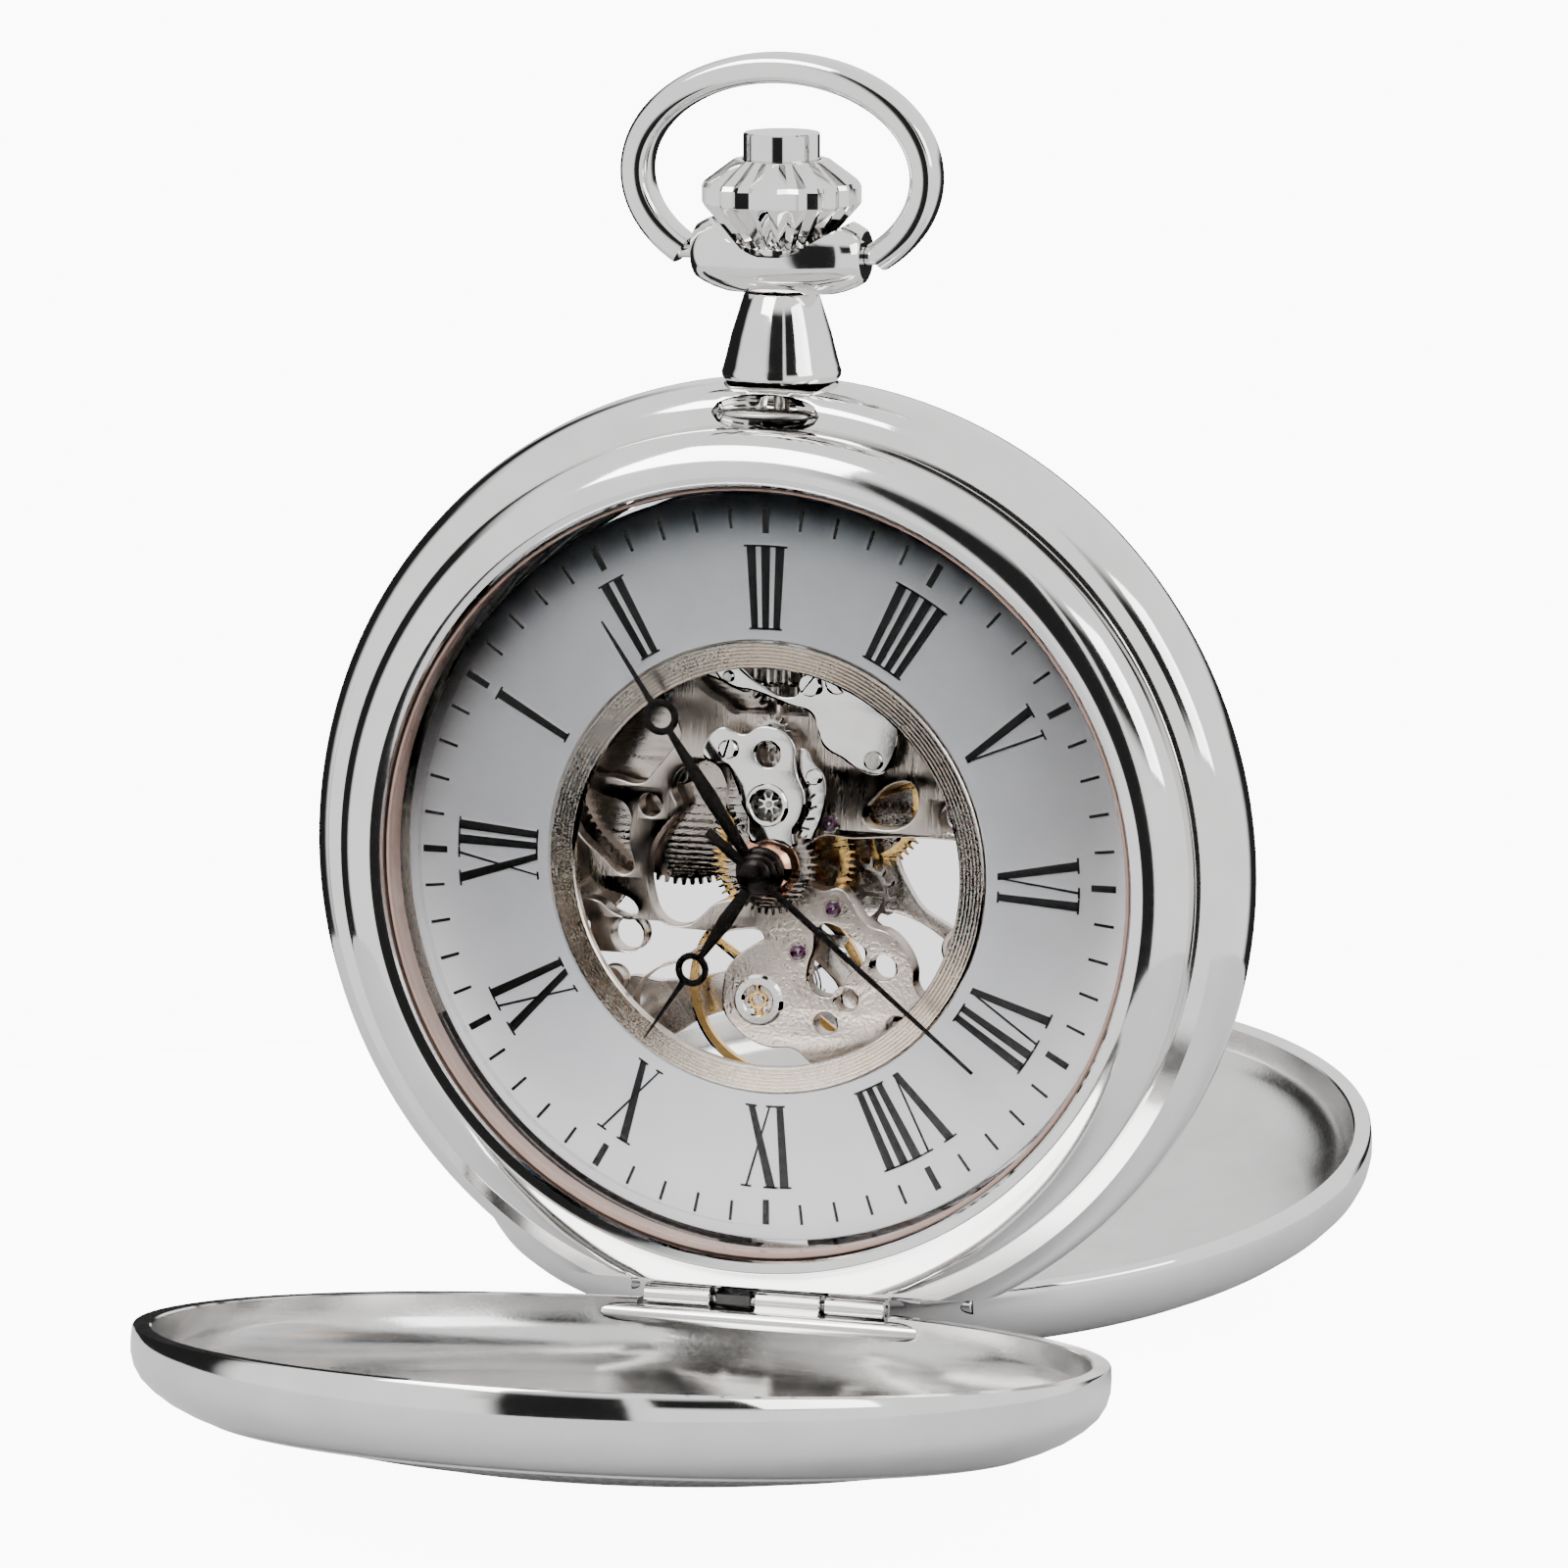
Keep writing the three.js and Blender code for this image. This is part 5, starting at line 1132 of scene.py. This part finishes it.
DARK_STEEL = grained("dark spring steel", (0.05, 0.05, 0.055), (0.15, 0.145, 0.14), 0.18, 7000, 0.2, 0.1)
leaf = [(19.82 * math.cos(math.radians(206 + 5 * i)),
    19.82 * math.sin(math.radians(206 + 5 * i))) for i in range(13)]
leaf += [(19.5 * math.cos(math.radians(266 - 5 * i)),
    19.5 * math.sin(math.radians(266 - 5 * i))) for i in range(13)]
spring_leaf = cut_plate("leaf", [leaf], -2.35, -1.5, 0.03, True)
spring_arm = block("arm", (-2.55, -0.85), (-2.35, -1.5), (-22.2, -19.45))
nose_edge = [(0, -2.65), (0.42, -2.65), (0.5, -2.57), (0.5, -0.83), (0.42, -0.75), (0, -0.75)]
spring_nose = turned("nose", nose_edge, 6, (0, HINGE[0] + 0.05, -22.62), "X", 20)
nose_link = block("nose link", (-2.6, -0.8), (-2.5, -2.15), (-22.5, -21.98))
fly_spring = as_one("fly spring", spring_leaf, spring_arm, spring_nose, nose_link)
cut_away(fly_spring, turned("pin room", [(0, -4), (0.34, -4), (0.34, 1), (0, 1)], 20, (0, *HINGE), "X"))
on_both_sides("fly_spring", paint(fly_spring, DARK_STEEL), "fly_spring")

# ---- Covers ----
# Two steel covers pressed from sheet: polished walls and insides, a thin ridge, and a fine engine-turned
# field outside with a plain round shield in the middle. Each is drawn shut and then swung open.
OPEN_ANGLE = math.radians(81.8)
RIM = -2.8


def field_depth(r):
    """How far the domed middle of a cover stands out at a radius."""
    return 6.5 - 0.00534 * r * r


cover_outside = [(24.0, 0.0), (24.06, 0.1), (24.1, 0.7), (24.08, 1.3), (23.92, 1.9), (23.6, 2.45),
    (23.05, 2.98), (22.3, 3.5), (21.4, 3.95), (20.75, 4.2)]
cover_outside += [(20.55, 4.22), (20.42, 4.34), (20.25, 4.34), (20.12, 4.24)]
cover_edge_line = [(r, RIM - d) for r, d in cover_outside]
cover_edge_line += [(r, RIM - field_depth(r) + 0.06) for r in (19.8, 18, 15, 12, 9, 6.5)]
cover_edge_line += [(6.35, RIM - field_depth(6) + 0.02), (6.1, RIM - field_depth(6)),
    (4, RIM - field_depth(6)), (0, RIM - field_depth(6))]
cover_edge_line += [(0, RIM - field_depth(6) + 0.6), (4, RIM - field_depth(6) + 0.6)]
cover_edge_line += [(r, RIM - field_depth(r) + 0.6) for r in (6, 9, 12, 15, 18, 20.3)]
cover_edge_line += [(21.3, RIM - 3.3), (22.0, RIM - 2.85), (22.6, RIM - 2.3), (22.98, RIM - 1.7),
    (23.1, RIM - 1.2), (23.1, RIM - 0.08), (23.2, RIM)]
cover = turned("cover", cover_edge_line, 192, angle=40)
cut_away(cover, turned("hinge room", [(0, -6.8), (0.78, -6.8), (0.78, 6.8), (0, 6.8)], 32, (0, *HINGE),
    "X"))
BAR = (HINGE[0] - 0.95, HINGE[1] + 0.75)
cut_away(cover, turned("bar room", [(0, -9.36), (0.5, -9.36), (0.5, 9.36), (0, 9.36)], 32, (0, *BAR),
    "X"))
cut_away(cover, block("catch room", (-2.5, 2.5), (-3.6, -2), (22.5, 23.75)))


def swung_open(obj):
    """Turns a piece drawn with the cover shut about the front hinge, as far as the open cover goes."""
    at = spot(0, *HINGE)
    obj.matrix_world = Matrix.Translation(at) @ Matrix.Rotation(OPEN_ANGLE, 4,
        "X") @ Matrix.Translation(-at)
    return finish_edges(obj, 40)


def engine_turned(side):
    """Steel cut with fine crossing lines that leave rows of small lozenges, brick-wise, round the shield."""
    material, nodes, links, shader = new_material(f"engine turned {side}", (0.78, 0.77, 0.76), 1.0, 0.16)
    place = nodes.new("ShaderNodeTexCoord")
    seat = nodes.new("ShaderNodeMapping")
    seat.vector_type = "TEXTURE"
    outward = -1 if side == "front" else 1
    at = spot(0, outward * 2.6, HINGE[1])
    swing = Matrix.Rotation(-outward * OPEN_ANGLE, 4, "X")
    centre = at + swing.to_3x3() @ (spot(0, 0, 0) - spot(0, outward * 2.6, HINGE[1]))
    seat.inputs["Location"].default_value = centre
    seat.inputs["Rotation"].default_value = (-outward * OPEN_ANGLE, 0, 0)
    links.new(place.outputs["Object"], seat.inputs["Vector"])
    parts = nodes.new("ShaderNodeSeparateXYZ")
    links.new(seat.outputs["Vector"], parts.inputs["Vector"])

    sum_of = sums(nodes, links)
    across, up = parts.outputs["X"], parts.outputs["Z"]
    radius = sum_of("SQRT", sum_of("ADD", sum_of("MULTIPLY", across, across), sum_of("MULTIPLY", up, up)))
    around = sum_of("MULTIPLY", sum_of("ARCTAN2", up, across), 72)
    outwards = sum_of("MULTIPLY", radius, 2 * math.pi / (0.9 * MM))
    first = sum_of("SINE", sum_of("ADD", around, outwards))
    second = sum_of("SINE", sum_of("SUBTRACT", around, outwards))
    lozenges = sum_of("MULTIPLY", first, second)
    bump = nodes.new("ShaderNodeBump")
    bump.inputs["Strength"].default_value = 0.9
    bump.inputs["Distance"].default_value = 0.00008
    links.new(lozenges, bump.inputs["Height"])
    links.new(bump.outputs["Normal"], shader.inputs["Normal"])
    # Painted shade: the colour darkens into the low cuts between the lozenges, over the real relief of the
    # bump.
    depth = nodes.new("ShaderNodeMapRange")
    depth.inputs["From Min"].default_value = -1
    links.new(lozenges, depth.inputs["Value"])
    shade = two_tones(nodes, links, depth.outputs["Result"], (0.52, 0.51, 0.50), (0.86, 0.85, 0.84))
    links.new(shade, shader.inputs["Base Color"])
    return material


SATIN = grained("satin steel", (0.56, 0.55, 0.54), (0.72, 0.71, 0.70), 0.19, 5200, 0.12, 0.12)
bar = tube("joint bar", -9.3, 9.3, 0.45, 0.0, *BAR)
cover_tube = tube("cover knuckle", -0.45, 3.05, 0.6, 0.32, *HINGE)
web_reach = math.hypot(0.95, 0.75)
web = block("web", (-0.4, 3.0), (-0.22, 0.22), (0.36, web_reach))
lean = Matrix.Rotation(math.atan2(0.95, 0.75), 4, "X")
web.matrix_world = Matrix.Translation(spot(0, *HINGE)) @ lean @ Matrix.Translation(-spot(0, 0, 0))
finish_edges(web)
swung_open(cover)
joint = swung_open(as_one("cover joint", bar, cover_tube, web))
lids = on_both_sides("cover", cover, "cover", "lid")
on_both_sides("cover_joint", paint(joint, POLISHED), "cover_joint", "lid")
for side, lid in zip(("front", "rear"), lids):
    paint(lid, POLISHED, engine_turned(side), SATIN)
    outward = -1 if side == "front" else 1
    hinge_at = spot(0, outward * 2.6, HINGE[1])
    shut = Matrix.Rotation(outward * OPEN_ANGLE, 3, "X")
    middle = spot(0, 0, 0)
    for face in lid.data.polygons:
        place = shut @ (face.center - hinge_at) + hinge_at - middle
        r = math.hypot(place.x, place.z) / MM
        normal = shut @ face.normal
        if 6.4 < r < 20.1 and normal.y * outward > 0.5:
            face.material_index = 1
        elif r < 23.3 and normal.y * outward < 0.15 and (place.y * outward) / MM > 2.9:
            face.material_index = 2

# ---- Pendant neck and collar ----
# The polished cone screwed into the band, and the barrel-shaped collar across it that the bow hangs from.
# The winding stem passes up through both.
neck_edge = [(1.3, 24.7), (2.6, 24.7), (2.85, 24.82), (3.02, 25.05), (3.05, 25.3), (2.95, 25.6),
    (2.82, 26.1), (2.55, 27.2), (2.2, 28.3), (1.92, 29.2), (1.84, 29.3), (1.3, 29.3)]
neck = turned("visual_pendant_neck", neck_edge, 96, (0, 0, 0), "Z", 40)
cut_away(neck, turned("band room", [(0, -4), (25.03, -4), (25.03, 4), (0, 4)], 160))
paint(neck, POLISHED)
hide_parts("pendant_neck")
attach(neck, "case")

collar_edge = [(0, -4.5), (1.25, -4.5), (1.38, -4.42), (1.62, -4.0), (1.86, -3.4), (2.08, -2.6),
    (2.22, -1.7), (2.28, -0.8), (2.3, 0)]
collar_edge += [(r, -x) for r, x in reversed(collar_edge[:-1])]
collar = turned("visual_pendant_collar", collar_edge, 64, (0, 0, 31.3), "X", 40)
cut_away(collar, turned("crown room", [(0, 31.3), (2.35, 31.3), (4.6, 34), (0, 34)], 64, (0, 0, 0), "Z"))
cut_away(collar, turned("stem bore", [(0, 28), (0.95, 28), (0.95, 32), (0, 32)], 32, (0, 0, 0), "Z"))
for x0, x1 in ((-5, -3.7), (3.7, 5)):
    cut_away(collar, turned("pivot hole", [(0, x0), (0.53, x0), (0.53, x1), (0, x1)], 24, (0, 0, 31.3),
        "X"))
cut_away(collar, block("neck room", (-5, 5), (-5, 5), (27, 29.33)))
paint(collar, POLISHED)
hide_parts("pendant_collar")
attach(collar, "case")

# ---- Bow ----
# The oval steel ring that a chain is fastened to. It is bent from a rounded flat bar, and a pivot turned on
# each end lets it swing in the collar.
bow_first = math.asin((31.3 - 35.3) / 5.4)
path = bpy.data.curves.new("bow", "CURVE")
path.dimensions = "2D"
spline = path.splines.new("POLY")
BOW_STEPS = 96
spline.points.add(BOW_STEPS)
for i, point in enumerate(spline.points):
    a = bow_first + (math.pi - 2 * bow_first) * i / BOW_STEPS
    point.co = (7.7 * math.cos(a) * MM, (35.3 + 5.4 * math.sin(a)) * MM, 0, 1)
section = bpy.data.curves.new("bow section", "CURVE")
section.dimensions = "2D"
edge_line = section.splines.new("POLY")
corners = []
for k in range(32):
    a = 2 * math.pi * k / 32
    c, s = math.cos(a), math.sin(a)
    corners.append((0.78 * math.copysign(abs(c) ** 0.62, c), 1.05 * math.copysign(abs(s) ** 0.62, s)))
edge_line.points.add(len(corners) - 1)
for point, (x, y) in zip(edge_line.points, corners):
    point.co = (x * MM, y * MM, 0, 1)
edge_line.use_cyclic_u = True
section_object = bpy.data.objects.new("bow section", section)
bpy.context.scene.collection.objects.link(section_object)
path.bevel_mode = "OBJECT"
path.bevel_object = section_object
path.use_fill_caps = True
bow = bpy.data.objects.new("visual_bow", path)
bpy.context.scene.collection.objects.link(bow)
bow.location = spot(0, 0, 0)
bow.rotation_euler = (math.pi / 2, 0, 0)
pick(bow)
bpy.ops.object.convert(target="MESH")
bpy.ops.object.mode_set(mode="EDIT")
bpy.ops.mesh.select_all(action="SELECT")
bpy.ops.mesh.remove_doubles(threshold=0.002 * MM)
bpy.ops.mesh.normals_make_consistent(inside=False)
bpy.ops.object.mode_set(mode="OBJECT")
bpy.data.objects.remove(section_object)
finish_edges(bow, 35)
cut_away(bow, block("between ends", (-4.62, 4.62), (-3, 3), (28, 34)))
pivots = []
for side in (-1, 1):
    x0, x1 = sorted((side * 3.85, side * 5.5))
    pivots.append(turned("pivot", [(0, x0), (0.4, x0), (0.45, x0 + 0.05), (0.45, x1 - 0.05), (0.4, x1),
        (0, x1)], 24, (0, 0, 31.3), "X"))
bow = paint(as_one("visual_bow", bow, *pivots), POLISHED)
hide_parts("bow")
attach(bow, "bow")

# ---- Crown and push piece ----
# The crown winds the spring and sets the hands. It is a double cone with cut flutes, a plain belt of facets
# and a scalloped top, pressed on the stem; the plain round push piece in its middle opens the front cover.
FLUTES = 24
crown_line = [(0.5, 31.35), (1.95, 31.35), (1.95, 31.62), (2.1, 31.66), (2.25, 31.8), (3.95, 33.72),
    (4.06, 33.9), (4.06, 34.72), (3.95, 34.95), (2.55, 36.0), (2.42, 36.08), (2.02, 36.08)]
crown_line += [(2.02, 33.4), (0.5, 33.4)]
crown = turned("visual_crown", crown_line, FLUTES * 4, (0, 0, 0), "Z", 12)


def flute(place):
    r = place.xy.length / MM
    z = (place.z - DIAL_Z) / MM
    around = (math.atan2(place.y, place.x) / (2 * math.pi) * FLUTES + 0.001) % 1.0
    if r < 2.08 or z < 31.64:
        return 1
    depth = 0.24 if z < 35.5 else 0.16
    return 1 - depth * (1 - abs(2 * around - 1)) / r


paint(finish_edges(draw_in(crown, flute), 12), POLISHED)
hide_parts("crown")
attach(crown, "crown_and_stem")
button_line = [(0, 34.1), (1.95, 34.1), (1.95, 37.37), (1.88, 37.44), (0, 37.45)]
button = paint(turned("visual_crown_button", button_line, 64, (0, 0, 0), "Z", 35), POLISHED)
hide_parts("crown_button")
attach(button, "button")

# ---- Studio ----
# A pale floor, soft lamps and a bright room with dark panels, which the polished steel reflects. The
# backdrop is white where it is looked at directly; through the two crystals it is dimmed to a grey,
# which is painted shade for the gaps seen through the watch.
bpy.ops.object.select_all(action="DESELECT")
bpy.ops.mesh.primitive_circle_add(vertices=96, radius=0.09, fill_type="NGON", location=(0, 0, -0.0002))
floor = bpy.context.object
floor.name = "floor"
bpy.ops.object.transform_apply(location=True)
pale, nodes, links, shader = new_material("pale floor", (0.55, 0.55, 0.56), 0.0, 0.7)
shader.inputs["Emission Color"].default_value = (1, 1, 1, 1)
watched = nodes.new("ShaderNodeLightPath")
BACKGROUND_GLOW = 10.0
# Painted shade: the floor's glow is cut almost away where it is seen through the crystals.
FLOOR_SHADE_BEHIND_GLASS = 0.87
sum_of = sums(nodes, links)
floor_shade_mask = sum_of("GREATER_THAN", watched.outputs["Transparent Depth"], 0.5)
seen = sum_of("MULTIPLY_ADD", floor_shade_mask, -FLOOR_SHADE_BEHIND_GLASS, watched.outputs["Is Camera Ray"])
links.new(sum_of("MULTIPLY", seen, BACKGROUND_GLOW), shader.inputs["Emission Strength"])
floor.data.materials.append(pale)

room = bpy.data.worlds.new("room")
room.use_nodes = True
bpy.context.scene.world = room
nodes, links = room.node_tree.nodes, room.node_tree.links
background = nodes["Background"]
looking = nodes.new("ShaderNodeTexCoord")
split = nodes.new("ShaderNodeSeparateXYZ")
links.new(looking.outputs["Generated"], split.inputs["Vector"])


world_sum = sums(nodes, links)
bearing = world_sum("ARCTAN2", split.outputs["X"], world_sum("MULTIPLY", split.outputs["Y"], -1))


def fading(value, start, end):
    """1 below the start, 0 above the end, smooth between."""
    fade = nodes.new("ShaderNodeMapRange")
    fade.interpolation_type = "SMOOTHSTEP"
    fade.inputs["From Min"].default_value = start
    fade.inputs["From Max"].default_value = end
    fade.inputs["To Min"].default_value = 1
    fade.inputs["To Max"].default_value = 0
    links.new(value, fade.inputs["Value"])
    return fade.outputs["Result"]


def panel(at, half, soft=6):
    """1 inside a band of bearings, in degrees from straight ahead, fading to 0 outside it."""
    off = world_sum("ARCCOSINE", world_sum("COSINE", world_sum("SUBTRACT", bearing, math.radians(at))))
    return fading(off, math.radians(half - soft), math.radians(half + soft))


height = split.outputs["Z"]
above = world_sum("SUBTRACT", 1, fading(height, 0.1, 0.25))
wide_panel = world_sum("MULTIPLY", panel(28, 40, 8), fading(height, 0.45, 0.65))
narrow_panel = world_sum("MULTIPLY", panel(7, 18, 3), fading(height, 0.45, 0.65))
left_panel = world_sum("MULTIPLY", panel(-118, 32, 6), fading(height, 0.4, 0.6))
rear_panel = world_sum("MULTIPLY", panel(-170, 34, 6), fading(height, 0.0, 0.12))
STRIP_WHITENESS, PANEL_DARKNESS = 0.9, 0.985
white_strip = world_sum("SUBTRACT", 1, world_sum("MULTIPLY", panel(24, 3, 1), STRIP_WHITENESS))
dark = world_sum("MAXIMUM", world_sum("MULTIPLY", wide_panel, above), narrow_panel)
dark = world_sum("MULTIPLY", dark, white_strip)
dark = world_sum("MAXIMUM", world_sum("MAXIMUM", dark, left_panel), rear_panel)
shown = world_sum("SUBTRACT", 1, world_sum("MULTIPLY", dark, PANEL_DARKNESS))
light_path = nodes.new("ShaderNodeLightPath")
looked_at = light_path.outputs["Is Camera Ray"]
backdrop_shade_mask = world_sum("GREATER_THAN", light_path.outputs["Transparent Depth"], 0.5)
tone = two_tones(nodes, links, world_sum("MAXIMUM", shown, looked_at), (0, 0, 0), (1, 1, 1))
links.new(tone, background.inputs["Color"])
ROOM_LIGHT = 1.5
# Painted shade: the white backdrop is dimmed to a grey where it is seen through the crystals.
BACKDROP_MORE, BACKDROP_SHADE_BEHIND_GLASS = 9, 8.7
backdrop = world_sum("MULTIPLY", looked_at, BACKDROP_MORE)
backdrop = world_sum("SUBTRACT", backdrop, world_sum("MULTIPLY", backdrop_shade_mask, BACKDROP_SHADE_BEHIND_GLASS))
brightness = world_sum("ADD", world_sum("MAXIMUM", backdrop, 0), ROOM_LIGHT)
links.new(brightness, background.inputs["Strength"])


def lamp(name, place, target, size, power):
    """A soft square lamp aimed at a target."""
    light = bpy.data.lights.new(name, "AREA")
    light.energy = power
    light.size = size
    obj = bpy.data.objects.new(name, light)
    obj.location = place
    obj.rotation_euler = (Vector(target) - Vector(place)).to_track_quat("-Z", "Y").to_euler()
    bpy.context.scene.collection.objects.link(obj)
    return obj


lamp("key", (-0.25, -0.5, 0.55), (0, 0, 0.03), 0.4, 5)
lamp("fill", (0.55, -0.25, 0.3), (0, 0, 0.03), 0.35, 2)

camera_data = bpy.data.cameras.new("camera")
camera_data.sensor_width = 36
camera_data.lens = 213.75
camera = bpy.data.objects.new("camera", camera_data)
camera.location = (0.1465, -0.4458, 0.1149)
camera.rotation_euler = Vector((-0.307, 0.935, -0.176)).to_track_quat("-Z", "Y").to_euler()
bpy.context.scene.collection.objects.link(camera)
bpy.context.scene.camera = camera
